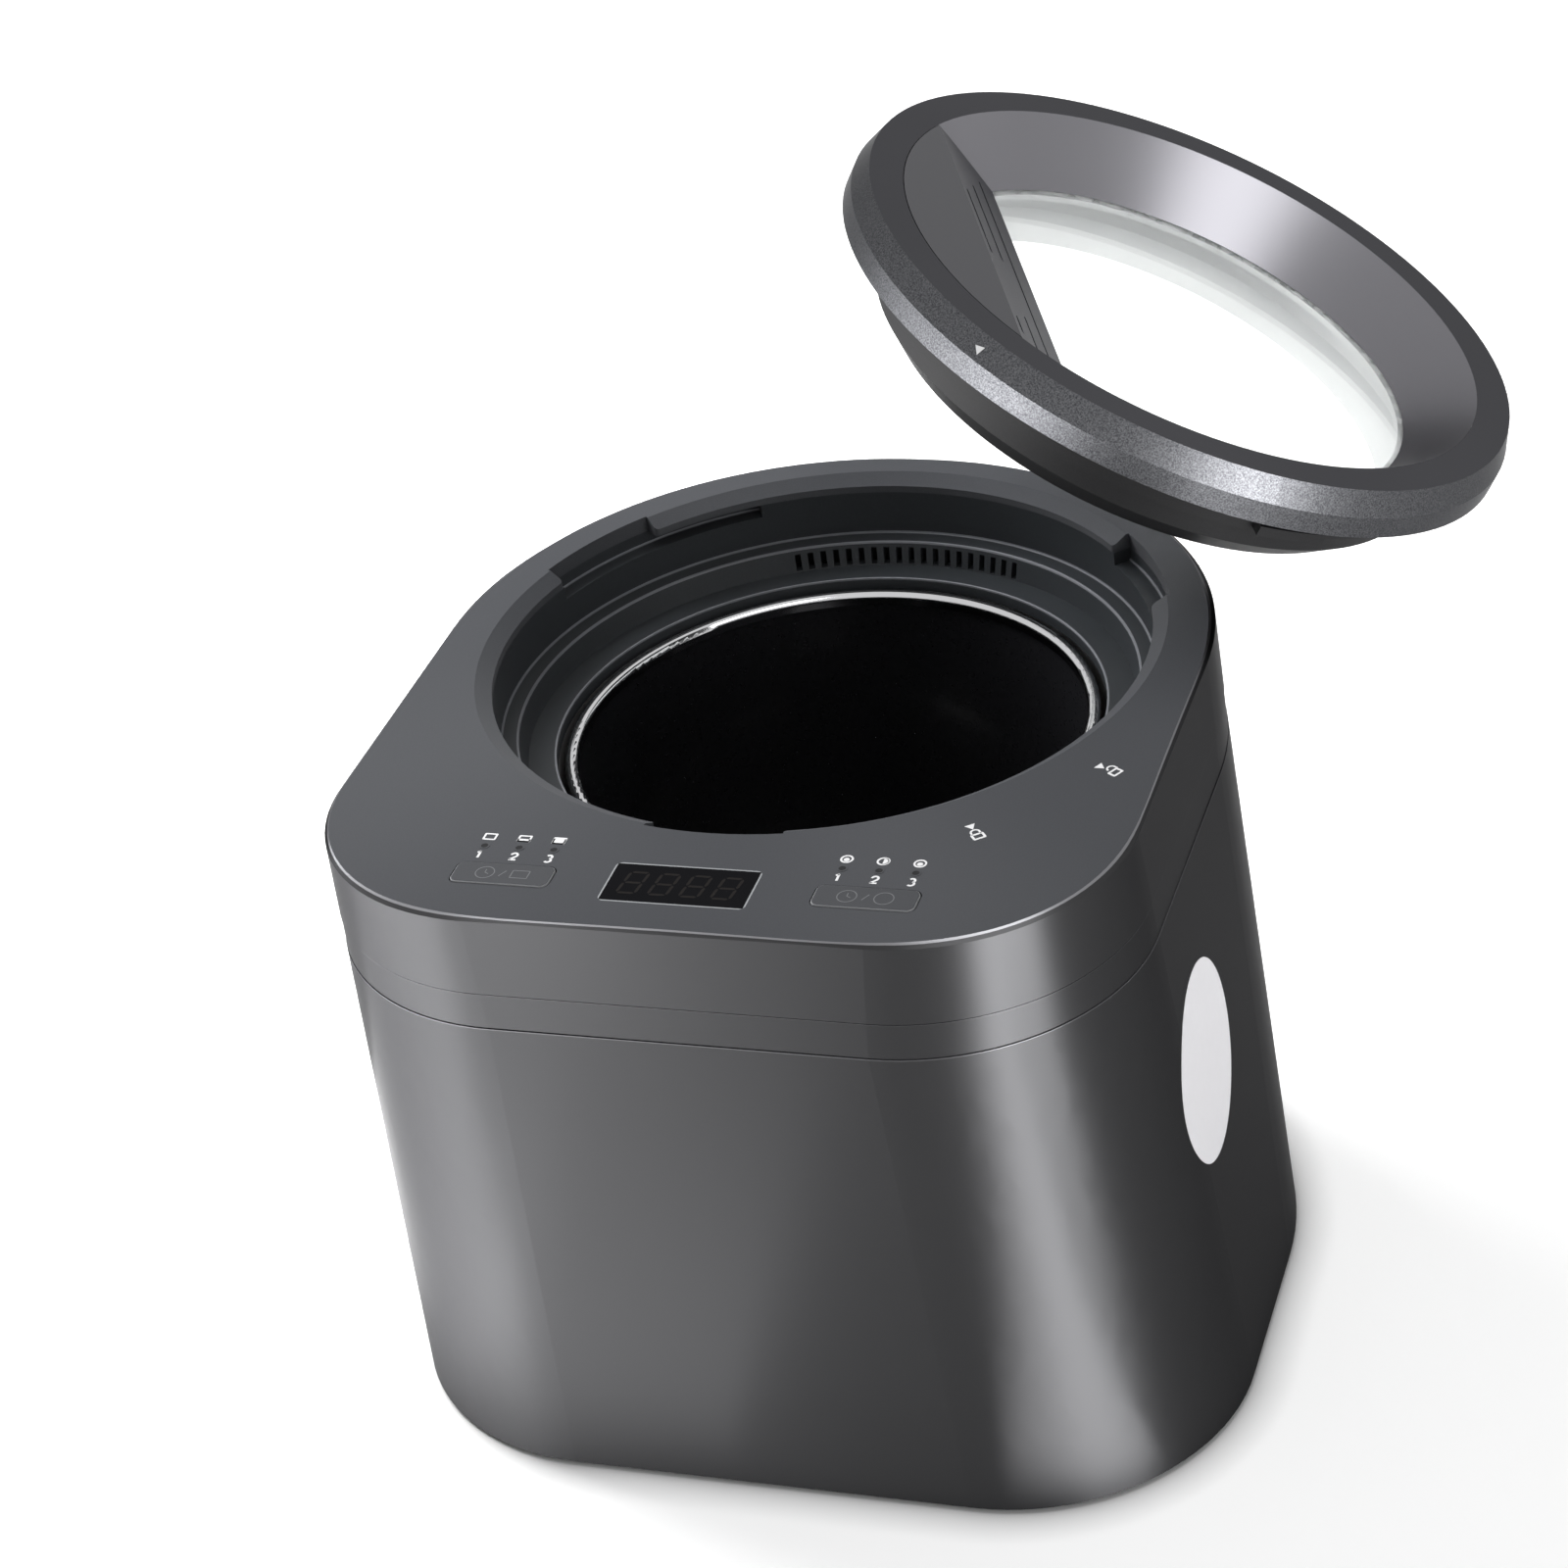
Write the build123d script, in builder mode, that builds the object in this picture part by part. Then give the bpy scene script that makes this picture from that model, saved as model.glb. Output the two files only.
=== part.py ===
from build123d import *
from math import asin, copysign, cos, degrees, radians, sin
import os

# Countertop electric food waste composter, in millimetres.
# The origin is on the worktop, under the middle of the round opening.
# +Z is up and the controls face -Y. The twist-off lid is shown lifted off.

# ---------------------------------------------------------------- opening
deck_z = 223.0  # top of the flat deck
mouth_r = 105.0
lip_width = 5.0  # sloped seat round the mouth
lip_r = mouth_r + lip_width
lip_drop = 3.0
lip_depth = 5.4
channel_depth = 6.0  # bayonet channels behind the mouth's wall
groove_r = mouth_r + channel_depth
channel_low = 9.9  # depths below the deck
channel_reach = 32.0  # degrees from a notch's middle to the channel's closed end
notch_count = 3
notch_half = 11.3  # degrees
notch_first = -90.0
notch_corner = 1.6
ledge_low = 20.8
ledge_fall = 0.6
ledge_width = 5.5
vent_wall_r = mouth_r - ledge_width
vent_low = 29.3
vent_lean = 2.0  # the slotted wall draws in towards its foot
liner_wall = 2.3
vent_count = 19
vent_width = 2.0
vent_height = 5.6
vent_arc = 45.4  # degrees, centred on the rear
ring_width = 9.0  # flat ring round the bucket
ring_r = vent_wall_r - vent_lean
chamber_r = ring_r - ring_width
chamber_lip = 4.5
chamber_floor = 66.0
can_wall = 1.4
can_flange = 9.0

# ---------------------------------------------------------------- body
side_margin = 20.0  # deck beyond the mouth at each side, at the rear and in front
rear_margin = 15.0
front_margin = 56.0
deck_half = mouth_r + side_margin
deck_rear = mouth_r + rear_margin
deck_front = mouth_r + front_margin
deck_front_r = 64.0
band_top = 196.0  # trim band between the top cover and the main shell
band_low = 184.0
band_flare = 2.2
band_half = deck_half + band_flare
band_front = deck_front + 1.0
band_rear = deck_rear - 3.0
band_front_r = deck_front_r + 5.0
band_sink = 0.2  # the band lies this far behind its neighbours
foot_z = 1.6  # lower edge of the shell
side_flare = 12.8  # the sides spread and the front and rear draw in
front_rake = 12.5
rear_rake = 11.0
foot_half = band_half + side_flare
foot_front = band_front - front_rake
foot_rear = band_rear - rear_rake
foot_front_r = band_front_r + 5.0
rear_margin_r = 17.0
rear_r = mouth_r + rear_margin_r  # the rear is one wide sweep
wall = 2.6
deck_edge = 1.4  # bevel round the deck
seam = 0.4  # shadow gap between two casings
slip = 0.3  # gap between casings that slide into one another

# ---------------------------------------------------------------- bucket
bucket_gap = 0.3  # rests this close over the chamber floor
bucket_play = 4.0
bucket_r = chamber_r - bucket_play
bucket_taper = 4.5
bucket_wall = 1.4
bucket_foot = 7.0  # foot ring below the bucket's floor
bucket_corner = 3.0
rim_gap = 2.2  # bright rim to the chamber's mouth
rim_r = chamber_r - rim_gap
rim_width = 4.4
rim_height = 4.2
rim_roll = 1.9
rim_below_deck = 31.7
boss_r = 15.0
boss_taper = 3.0
boss_height = 16.0
shaft_r = 5.0
shaft_play = 0.05
bush_wall = 2.5
tongue_width = 3.0
tongue_play = 0.25
tongue_length = 8.4
tongue_height = 5.5
bar_length = 24.0
bar_height = 9.0
bar_thick = 3.0
bar_first = 104.0  # height of the lower bar
bar_rise = 32.0
bar_turns = (35, 215)

# ---------------------------------------------------------------- stirrer
hub_r = 12.0
hub_top = 142.0
hub_nose = 5.0
arm_thick = 5.0
arm_height = 13.0
arm_lift = 1.2  # low arm over the bucket's floor
arm_pitch = 42.0  # height between the two arms
arm_sweep = 17.0  # degrees the tip trails
wall_gap = 3.5  # between an arm's tip and the bucket
bell_wall = 3.5
bell_gap = 1.2

# ---------------------------------------------------------------- drive
coupling_r = 10.5
coupling_gap = 1.7  # under the bucket's floor
coupling_play = 1.5
output_r = 4.0
gearbox_top = 50.0
gearbox_low = 16.0
gearbox_half = (36.0, 28.0)
motor_r = 19.0
motor_length = 56.0
bearing_wall = 4.0
bearing_height = 6.0
heater_margin = 12.0
heater_r = chamber_r - heater_margin
heater_bore = 24.0
heater_thick = 5.0

# ---------------------------------------------------------------- fan
fan_size = 50.0
fan_thick = 15.0
fan_z = 96.0
fan_gap = 0.3  # to the shell behind
fan_bore = 23.0
fan_hub_r = 9.0
fan_blades = 7
fan_tip_gap = 0.8
duct_width = 7.5
duct_wall = 1.4

# ---------------------------------------------------------------- controls
window_size = (45.0, 19.5)
window_set_in = 22.7  # middle behind the deck's front edge
window_at = (-0.5, window_set_in - deck_front)
window_thick = 1.6
window_ledge = 2.5
window_r = 2.0
button_size = (31.0, 10.5)
button_side_in = 69.5  # middle inside the deck's side
button_x = deck_half - button_side_in
button_set_in = 22.4
button_y = button_set_in - deck_front
button_r = 2.6
button_gap = 0.35
button_proud = 0.4
button_travel = 0.8
button_flange = 1.5
lamp_r = 1.6
lamp_pitch = 11.0
lamp_set_in = 36.4
lamp_y = lamp_set_in - deck_front
board_post_r = 3.0
board_inset = 6.0
board_depth = 12.4  # top of the control board below the deck
board_thick = 1.6
board_post_gap = 7.5  # posts beyond the outer lamps
board_length = 2 * (button_x + lamp_pitch + board_post_gap + board_inset)
board_size = (board_length, 31.0)
board_set_in = 24.0
board_y = board_set_in - deck_front
switch_height = 5.0

# ---------------------------------------------------------------- base
pan_thick = 3.0
pan_rim = 12.0
foot_r = 9.0
foot_seat = 1.2
foot_side_in = 48.0
foot_rear_in = 60.0
foot_front_in = 57.5
foot_at = (foot_half - foot_side_in, foot_rear - foot_rear_in, foot_front_in - foot_front)
intake_set_in = 39.5
screw_r = 1.8
screw_head_r = 3.4
screw_length = 12.0
screw_boss = 3.0
screw_head = 1.1
screw_side_in = 32.0
screw_at = (foot_half - screw_side_in, 20.0)
supply_size = (110.0, 50.0)
supply_set_in = 71.5
supply_y = supply_set_in - foot_front
supply_block = 28.0
supply_height = 22.0
inlet_size = (27.0, 20.0)
inlet_depth = 22.0
inlet_z = 34.0
inlet_x = -52.0
inlet_sink = 1.2  # face of the socket behind the shell
inlet_cavity = ((-1, 11.5, -8), (-1, 11.5, 3), (-1, 7, 8), (1, 7, 8), (1, 11.5, 3), (1, 11.5, -8))
grille_slots = 9
slot_pitch = 6.0
slot_height = 2.6
slot_length = 42.0

# ---------------------------------------------------------------- lid
lid_overhang = 12.0  # lid beyond the mouth
lid_r = mouth_r + lid_overhang
lid_top = 15.9  # height of its top face over the deck
lid_bevel_run = 3.1
lid_bevel_drop = 8.4
neck_play = 1.6  # neck inside the mouth
skirt_r = mouth_r - neck_play
skirt_wall = 2.4
skirt_step = 11.0
skirt_step_in = 5.8
skirt_neck_r = skirt_r - skirt_step_in
skirt_knee = 20.0
skirt_foot_in = 8.6
skirt_foot_r = skirt_neck_r - skirt_foot_in
skirt_low = 28.0
skirt_socket = 9.6
bowl_edge = 1.2  # the shallow bowl that holds the window
bowl_r = skirt_r - bowl_edge
bowl_run = 16.7
glass_seat_r = bowl_r - bowl_run
glass_lap = 2.5
glass_r = glass_seat_r + glass_lap
glass_low = 5.2  # face of the glass below the lid's edge
glass_thick = 3.0
cone_wall = 2.8
seal_lip = 1.5  # silicone under the glass's edge
seal_thick = 2.0
lug_play = 2.5
lug_r = groove_r - lug_play
lug_half = 6.5  # degrees
lug_top = 5.8
lug_low = 9.3
lock_turn = 21.3  # degrees from unlocked to locked
gasket_margin = 1.0
gasket_in = groove_r + gasket_margin
gasket_edge = 1.8
gasket_out = lid_r - gasket_edge
gasket_high = 3.2
gasket_play = 0.3
cover_set = 24.6  # vent cover: its top edge lies this far inside the bowl's rim
cover_chord = bowl_r - cover_set
cover_lean = 29.6
cover_gap = 0.35
cover_wall = 2.4
louvre_height = 1.4
# each row: its share of the slope's height, then the slots' ends along the row
louvres = (
    (0.34, ((-60.0, 60.0),)),
    (0.62, ((-44.0, 4.0), (38.0, 60.0))),
    (0.88, ((-29.0, 11.0), (49.0, 59.0))),
)
filter_gap = 1.2
grate_slots = 5
grate_pitch = 5.0
grate_slot = (58.0, 2.4)
ball_r = 2.0
ball_set = 3.0
ball_track_r = skirt_r + ball_set
ball_z = 5.4
ball_play = 0.35
ball_angle = 195.0  # degrees round the opening, lid unlocked

# The lid's place: lifted off, behind the opening and to the right, tipped.
lid_x = 88.1
lid_y = 135.5
lid_rise = 45.1
lid_tilt = 28.23
lid_tilt_towards = 10.56
lid_spin = 297.5

os.makedirs("parts", exist_ok=True)


def save(part, name):
    """Name one piece and write its file."""
    part.label = name
    export_step(part, "parts/" + name + ".step")


def casing_size(z):
    """Half width, front, rear and front corner radius of the casing at height z."""
    if z >= band_low:
        t = (z - band_low) / (deck_z - band_low)
        low = (band_half, band_front, band_rear, band_front_r)
        high = (deck_half, deck_front, deck_rear, deck_front_r)
    else:
        t = (z - foot_z) / (band_low - foot_z)
        low = (foot_half, foot_front, foot_rear, foot_front_r)
        high = (band_half, band_front, band_rear, band_front_r)
    return [a + (b - a) * t for a, b in zip(low, high)]


def body_outline(z, inset=0.0):
    """Plan of the casing: straight front and sides, one wide sweep at the rear."""
    half, front, rear, front_r = casing_size(z)
    with Locations((0, (rear - front) / 2)):
        Rectangle(2 * (half - inset), front + rear - 2 * inset)
    fillet(vertices().group_by(Axis.Y)[0], front_r - inset)
    fillet(vertices().group_by(Axis.Y)[-1], min(rear_r, half - 1) - inset)


def rear_wall(x, z):
    """Where the casing's rear lies at x and z, and how far it is turned there."""
    half, front, rear, front_r = casing_size(z)
    sweep_r = min(rear_r, half - 1)
    turn = asin(max(abs(x) - half + sweep_r, 0) / sweep_r)
    return rear - sweep_r + sweep_r * cos(turn), copysign(degrees(turn), x)


def casing(z_low, z_high, inset=0.0, mode=Mode.ADD):
    """A slice of the casing's form between two heights."""
    with BuildSketch(Plane.XY.offset(z_low)) as low:
        body_outline(z_low, inset)
    with BuildSketch(Plane.XY.offset(z_high)) as high:
        body_outline(z_high, inset)
    loft([low.sketch, high.sketch], ruled=True, mode=mode)


def ring_sector(inner, outer, start, sweep):
    """Flat piece of a ring between two angles."""
    with BuildLine() as border:
        far = CenterArc((0, 0), outer, start, sweep)
        near = CenterArc((0, 0), inner, start, sweep)
        Line(far @ 0, near @ 0)
        Line(far @ 1, near @ 1)
    make_face(border.edges())


def turned(points, mode=Mode.ADD):
    """Revolve a closed half section, given as (radius, height) corners."""
    with BuildSketch(Plane.XZ) as section:
        with BuildLine():
            Polyline(*points, close=True)
        make_face()
    revolve(section.sketch, axis=Axis.Z, mode=mode)


# ================================================================ housing
deck_under = deck_z - wall

with BuildPart() as top_cover:
    casing(band_top + seam / 2, deck_z)
    chamfer(faces().sort_by(Axis.Z)[-1].edges(), deck_edge)
    casing(band_top, deck_under, inset=wall, mode=Mode.SUBTRACT)
    # turned-down edge of the mouth
    turned(
        [
            (mouth_r, deck_z - lip_depth),
            (lip_r + wall, deck_z - lip_depth),
            (lip_r + wall, deck_under),
            (mouth_r, deck_under),
        ]
    )
    # mouth with its three bayonet notches, their corners rounded
    with BuildSketch(Plane.XY.offset(deck_z)):
        Circle(mouth_r)
        for n in range(notch_count):
            middle = notch_first + 360 / notch_count * n
            ring_sector(mouth_r - 5, groove_r, middle - notch_half, 2 * notch_half)
        corners = [v for v in vertices() if abs((v.X**2 + v.Y**2) ** 0.5 - mouth_r) < 0.01]
        fillet([v for v in corners if abs(v.Y) > 1], notch_corner)
    extrude(amount=-lip_depth - wall, mode=Mode.SUBTRACT)
    turned(
        [
            (mouth_r - 1, deck_z + 1),
            (lip_r, deck_z + 1),
            (lip_r, deck_z),
            (mouth_r, deck_z - lip_drop),
            (mouth_r - 1, deck_z - lip_drop),
        ],
        mode=Mode.SUBTRACT,
    )
    # openings of the window, the two buttons and the six lamps
    with BuildSketch(Plane.XY.offset(deck_z)):
        with Locations(window_at):
            RectangleRounded(*window_size, window_r)
    extrude(amount=-window_thick, mode=Mode.SUBTRACT)
    with BuildSketch(Plane.XY.offset(deck_z)):
        with Locations(window_at):
            Rectangle(window_size[0] - 2 * window_ledge, window_size[1] - 2 * window_ledge)
        with Locations((-button_x, button_y), (button_x, button_y)):
            RectangleRounded(
                button_size[0] + 2 * button_gap,
                button_size[1] + 2 * button_gap,
                button_r + button_gap,
            )
        for side in (-1, 1):
            for n in (-1, 0, 1):
                with Locations((side * button_x + n * lamp_pitch, lamp_y)):
                    Circle(lamp_r)
    extrude(amount=-wall, mode=Mode.SUBTRACT)
    # posts that carry the control board
    with BuildSketch(Plane.XY.offset(deck_under)):
        with Locations((0, board_y)):
            with GridLocations(board_size[0] - 2 * board_inset, board_size[1] - board_inset, 2, 2):
                Circle(board_post_r)
    extrude(amount=-(board_depth - wall))

with BuildPart() as trim_band:
    casing(band_low + seam / 2, band_top - seam / 2, inset=band_sink)
    casing(band_low - 4, band_top + 4, inset=wall + slip)
    casing(band_low - 5, band_top + 5, inset=2 * wall + slip, mode=Mode.SUBTRACT)

inlet_y, inlet_turn = rear_wall(inlet_x, inlet_z)
inlet_plane = Plane(
    origin=(inlet_x, inlet_y - inlet_sink, inlet_z),
    x_dir=(-cos(radians(inlet_turn)), sin(radians(inlet_turn)), 0),
    z_dir=(sin(radians(inlet_turn)), cos(radians(inlet_turn)), 0),
)

with BuildPart() as outer_shell:
    casing(foot_z, band_low - seam / 2)
    casing(foot_z - 1, band_low, inset=wall, mode=Mode.SUBTRACT)
    # exhaust slots and the mains socket's cut-out through the rear
    with BuildSketch(Plane.XZ):
        with Locations((0, fan_z)):
            with GridLocations(1, slot_pitch, 1, grille_slots):
                SlotOverall(slot_length, slot_height)
    extrude(amount=-2 * deck_rear, mode=Mode.SUBTRACT)
    with BuildSketch(inlet_plane.offset(-inlet_depth)):
        Rectangle(inlet_size[0] + 2 * slip, inlet_size[1] + 2 * slip)
    extrude(amount=2 * inlet_depth, mode=Mode.SUBTRACT)

foot_places = [(side * foot_at[0], y) for side in (-1, 1) for y in foot_at[1:]]
screw_places = [(side * screw_at[0], end * screw_at[1]) for side in (-1, 1) for end in (-1, 1)]

with BuildPart() as base_pan:
    casing(foot_z + slip, foot_z + slip + pan_rim, inset=wall + slip)
    casing(foot_z + slip + pan_thick, foot_z + 2 * pan_rim, inset=2 * wall + slip, mode=Mode.SUBTRACT)
    # posts under the gearbox, then seats of the feet and screws
    with BuildSketch(Plane.XY.offset(foot_z + slip + pan_thick)):
        with GridLocations(2 * gearbox_half[0] - 14, 2 * gearbox_half[1] - 14, 2, 2):
            Circle(5)
    extrude(amount=gearbox_low - foot_z - slip - pan_thick)
    with BuildSketch(Plane.XY.offset(foot_z + slip)):
        with Locations(*foot_places):
            Circle(foot_r)
    extrude(amount=foot_seat, mode=Mode.SUBTRACT)
    with BuildSketch(Plane.XY.offset(foot_z + slip)):
        with Locations(*screw_places):
            Circle(screw_r + screw_boss)
    extrude(amount=screw_length + 2)
    with BuildSketch(Plane.XY.offset(foot_z + slip)):
        with Locations(*screw_places):
            Circle(screw_r)
    extrude(amount=screw_length, mode=Mode.SUBTRACT)
    # intake slots
    with BuildSketch(Plane.XY.offset(foot_z + slip)):
        with Locations((0, intake_set_in - foot_front)):
            with GridLocations(9, 1, 9, 1):
                SlotOverall(26, 3, rotation=90)
    extrude(amount=pan_thick, mode=Mode.SUBTRACT)

with BuildPart() as rubber_feet:
    with BuildSketch():
        with Locations(*foot_places):
            Circle(foot_r)
    extrude(amount=foot_z + slip + foot_seat)
    chamfer(edges().group_by(Axis.Z)[0], 0.8)

with BuildPart() as base_screws:
    with BuildSketch(Plane.XY.offset(foot_z + slip)):
        with Locations(*screw_places):
            Circle(screw_r)
    extrude(amount=screw_length)
    with BuildSketch(Plane.XY.offset(foot_z + slip)):
        with Locations(*screw_places):
            Circle(screw_head_r)
    extrude(amount=-screw_head)

# Moulded well: bayonet channels, ledge, slotted wall and the ring round the bucket.
with BuildPart() as well_liner:
    outer = groove_r + liner_wall
    foot = vent_low + chamber_lip
    turned(
        [
            (mouth_r, deck_z - lip_depth),
            (mouth_r, deck_z - ledge_low),
            (vent_wall_r, deck_z - ledge_low - ledge_fall),
            (ring_r, deck_z - vent_low),
            (chamber_r, deck_z - vent_low),
            (chamber_r, deck_z - foot),
            (chamber_r + liner_wall, deck_z - foot),
            (chamber_r + liner_wall, deck_z - vent_low - liner_wall),
            (ring_r + liner_wall, deck_z - vent_low - liner_wall),
            (vent_wall_r + liner_wall, deck_z - ledge_low - ledge_fall - liner_wall),
            (mouth_r + liner_wall, deck_z - ledge_low - liner_wall),
            (mouth_r + liner_wall, deck_z - channel_low - liner_wall),
            (outer, deck_z - channel_low - liner_wall),
            (outer, deck_z - lip_depth),
        ]
    )
    # a channel runs from each notch under the lip, with a hollow between two channels
    with BuildSketch(Plane.XY.offset(deck_z - lip_depth)):
        for n in range(notch_count):
            middle = notch_first + 360 / notch_count * n
            ring_sector(mouth_r - 1, groove_r, middle - channel_reach, channel_reach + notch_half)
            rest = 360 / notch_count - channel_reach - notch_half - 4
            ring_sector(mouth_r + liner_wall, groove_r, middle + notch_half + 2, rest)
    extrude(amount=lip_depth - channel_low, mode=Mode.SUBTRACT)
    # row of upright air slots at the rear
    with Locations((0, 0, deck_z - vent_low + 0.4 + vent_height / 2)):
        with PolarLocations(
            (vent_wall_r + ring_r + liner_wall) / 2,
            vent_count,
            start_angle=90 - vent_arc / 2,
            angular_range=vent_arc * vent_count / (vent_count - 1),
        ):
            Box(3 * liner_wall, vent_width, vent_height, mode=Mode.SUBTRACT)

chamber_top = deck_z - vent_low - chamber_lip
with BuildPart() as chamber_can:
    outer = chamber_r + can_wall
    bore = coupling_r + coupling_play
    turned(
        [
            (bore, chamber_floor),
            (chamber_r, chamber_floor),
            (chamber_r, chamber_top),
            (chamber_r + can_flange, chamber_top),
            (chamber_r + can_flange, chamber_top - can_wall),
            (outer, chamber_top - can_wall),
            (outer, chamber_floor - can_wall),
            (bore, chamber_floor - can_wall),
        ]
    )

with BuildPart() as heater_plate:
    with BuildSketch(Plane.XY.offset(chamber_floor - can_wall)):
        Circle(heater_r)
        Circle(heater_bore, mode=Mode.SUBTRACT)
    extrude(amount=-heater_thick)

with BuildPart() as gear_motor:
    with BuildSketch(Plane.XY.offset(gearbox_low)):
        RectangleRounded(2 * gearbox_half[0], 2 * gearbox_half[1], 6)
    extrude(amount=gearbox_top - gearbox_low)
    fillet(edges().group_by(Axis.Z)[-1], 2)
    with BuildSketch(Plane.YZ.offset(gearbox_half[0])):
        with Locations((0, (gearbox_low + gearbox_top) / 2)):
            Circle((gearbox_top - gearbox_low) / 2 - 1)
    extrude(amount=motor_length)
    with BuildSketch(Plane.XY.offset(gearbox_top)):
        Circle(output_r + bearing_wall)
    extrude(amount=-bearing_height, mode=Mode.SUBTRACT)
    with BuildSketch(Plane.XY.offset(gearbox_top - bearing_height)):
        Circle(output_r + 0.6)
    extrude(amount=-6, mode=Mode.SUBTRACT)

with BuildPart() as output_bearing:
    with BuildSketch(Plane.XY.offset(gearbox_top)):
        Circle(output_r + bearing_wall)
        Circle(output_r + shaft_play, mode=Mode.SUBTRACT)
    extrude(amount=-bearing_height)

# Struts carry the chamber on the gearbox and the base.
with BuildPart() as chamber_bracket:
    plate_z = chamber_floor - can_wall - heater_thick
    with BuildSketch(Plane.XY.offset(gearbox_top)):
        RectangleRounded(2 * gearbox_half[0], 2 * gearbox_half[1], 6)
        Circle(output_r + bearing_wall + 4, mode=Mode.SUBTRACT)
    extrude(amount=1.6)
    with BuildSketch(Plane.XY.offset(gearbox_top)):
        with GridLocations(2 * gearbox_half[0] - 12, 2 * gearbox_half[1] - 12, 2, 2):
            Circle(4)
    extrude(amount=plate_z - gearbox_top)

fan_y = rear_wall(fan_size / 2, fan_z - fan_size / 2)[0] - wall - fan_gap - fan_thick
with BuildPart() as fan_frame:
    with BuildSketch(Plane.XZ.offset(-fan_y)):
        with Locations((0, fan_z)):
            RectangleRounded(fan_size, fan_size, 4)
            Circle(fan_bore, mode=Mode.SUBTRACT)
    extrude(amount=-fan_thick)
    with BuildSketch(Plane.XZ.offset(-fan_y - fan_thick + 2)):
        with Locations((0, fan_z)):
            Circle(fan_hub_r)
            Rectangle(2 * fan_bore + 1, 2.4)
            Rectangle(2.4, 2 * fan_bore + 1)
    extrude(amount=-2)

with BuildPart() as exhaust_duct:
    duct_low = fan_z + fan_size / 2
    duct_in = chamber_r + can_flange + 1
    duct_out = vent_wall_r + liner_wall + duct_width
    with BuildSketch(Plane.XY.offset(duct_low)):
        ring_sector(duct_in, duct_out, 90 - vent_arc / 2 - 2, vent_arc + 4)
    extrude(amount=deck_z - vent_low - liner_wall - slip - duct_low)
    with BuildSketch(Plane.XY.offset(deck_z - vent_low - liner_wall - slip)):
        ring_sector(vent_wall_r + liner_wall + slip, duct_out, 90 - vent_arc / 2 - 2, vent_arc + 4)
    extrude(amount=vent_low - ledge_low - ledge_fall)
    with BuildSketch(Plane.XY.offset(duct_low)):
        ring_sector(duct_in + duct_wall, duct_out - duct_wall, 90 - vent_arc / 2 - 1, vent_arc + 2)
    extrude(amount=deck_z, mode=Mode.SUBTRACT)

with BuildPart() as power_inlet:
    with BuildSketch(inlet_plane):
        RectangleRounded(*inlet_size, 3)
    extrude(amount=-inlet_depth)
    with BuildSketch(inlet_plane):
        with BuildLine():
            Polyline(*[(side_x * x, y) for side_x, x, y in inlet_cavity], close=True)
        make_face()
    extrude(amount=-(inlet_depth - 4), mode=Mode.SUBTRACT)
    # three flat pins
    with BuildSketch(inlet_plane.offset(4 - inlet_depth)):
        with Locations((0, 2), (-7, -2), (7, -2)):
            Rectangle(2, 4.5)
    extrude(amount=inlet_depth - 8)

board_rest = foot_z + slip + pan_thick
with BuildPart() as power_board:
    with BuildSketch(Plane.XY.offset(board_rest)):
        with Locations((0, supply_y)):
            Rectangle(*supply_size)
    extrude(amount=board_thick)
    # transformer, two capacitors and a heat sink
    with BuildSketch(Plane.XY.offset(board_rest + board_thick)):
        with Locations((-supply_size[0] / 3, supply_y)):
            Rectangle(supply_block, supply_block)
        with Locations((0, supply_y - supply_size[1] / 5), (0, supply_y + supply_size[1] / 5)):
            Circle(supply_block / 4)
        with Locations((supply_size[0] / 3, supply_y)):
            Rectangle(supply_block / 2, supply_block)
    extrude(amount=supply_height)

with BuildPart() as control_board:
    with BuildSketch(Plane.XY.offset(deck_z - board_depth)):
        with Locations((0, board_y)):
            Rectangle(*board_size)
    extrude(amount=-board_thick)
    # display module and the two push switches on top
    with BuildSketch(Plane.XY.offset(deck_z - board_depth)):
        with Locations(window_at):
            Rectangle(window_size[0] - 2 * window_ledge - 1, window_size[1] - 2 * window_ledge - 1)
    extrude(amount=board_depth - wall)
    with BuildSketch(Plane.XY.offset(deck_z - board_depth)):
        with Locations((-button_x, button_y), (button_x, button_y)):
            Rectangle(6, 6)
    extrude(amount=switch_height)

with BuildPart() as display_window:
    with BuildSketch(Plane.XY.offset(deck_z)):
        with Locations(window_at):
            RectangleRounded(*window_size, window_r)
    extrude(amount=-window_thick)

with BuildPart() as status_lamps:
    with BuildSketch(Plane.XY.offset(deck_z + 0.1)):
        for side in (-1, 1):
            for n in (-1, 0, 1):
                with Locations((side * button_x + n * lamp_pitch, lamp_y)):
                    Circle(lamp_r)
    extrude(amount=-4)


def push_button(x):
    """Cap, hidden flange and stem of one deck button."""
    with BuildPart() as cap:
        with BuildSketch(Plane.XY.offset(deck_z + button_proud)):
            with Locations((x, button_y)):
                RectangleRounded(*button_size, button_r)
        extrude(amount=-(wall + button_proud + 0.4))
        fillet(edges().group_by(Axis.Z)[-1], 0.6)
        with BuildSketch(Plane.XY.offset(deck_under - 0.4)):
            with Locations((x, button_y)):
                RectangleRounded(
                    button_size[0] + 2 * button_flange,
                    button_size[1] + 2 * button_flange,
                    button_r + button_flange,
                )
        extrude(amount=-1.2)
        with BuildSketch(Plane.XY.offset(deck_under - 1.6)):
            with Locations((x, button_y)):
                Rectangle(6, 6)
        extrude(amount=-(board_depth - switch_height - wall - 1.6 - button_travel - 0.1))
    return cap.part


left_button = push_button(-button_x)
right_button = push_button(button_x)

# ================================================================ bucket
bucket_low = chamber_floor + bucket_gap
bucket_floor = bucket_low + bucket_foot
rim_top = deck_z - rim_below_deck
bucket_top = rim_top - rim_height
low_r = bucket_r - bucket_taper

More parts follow.
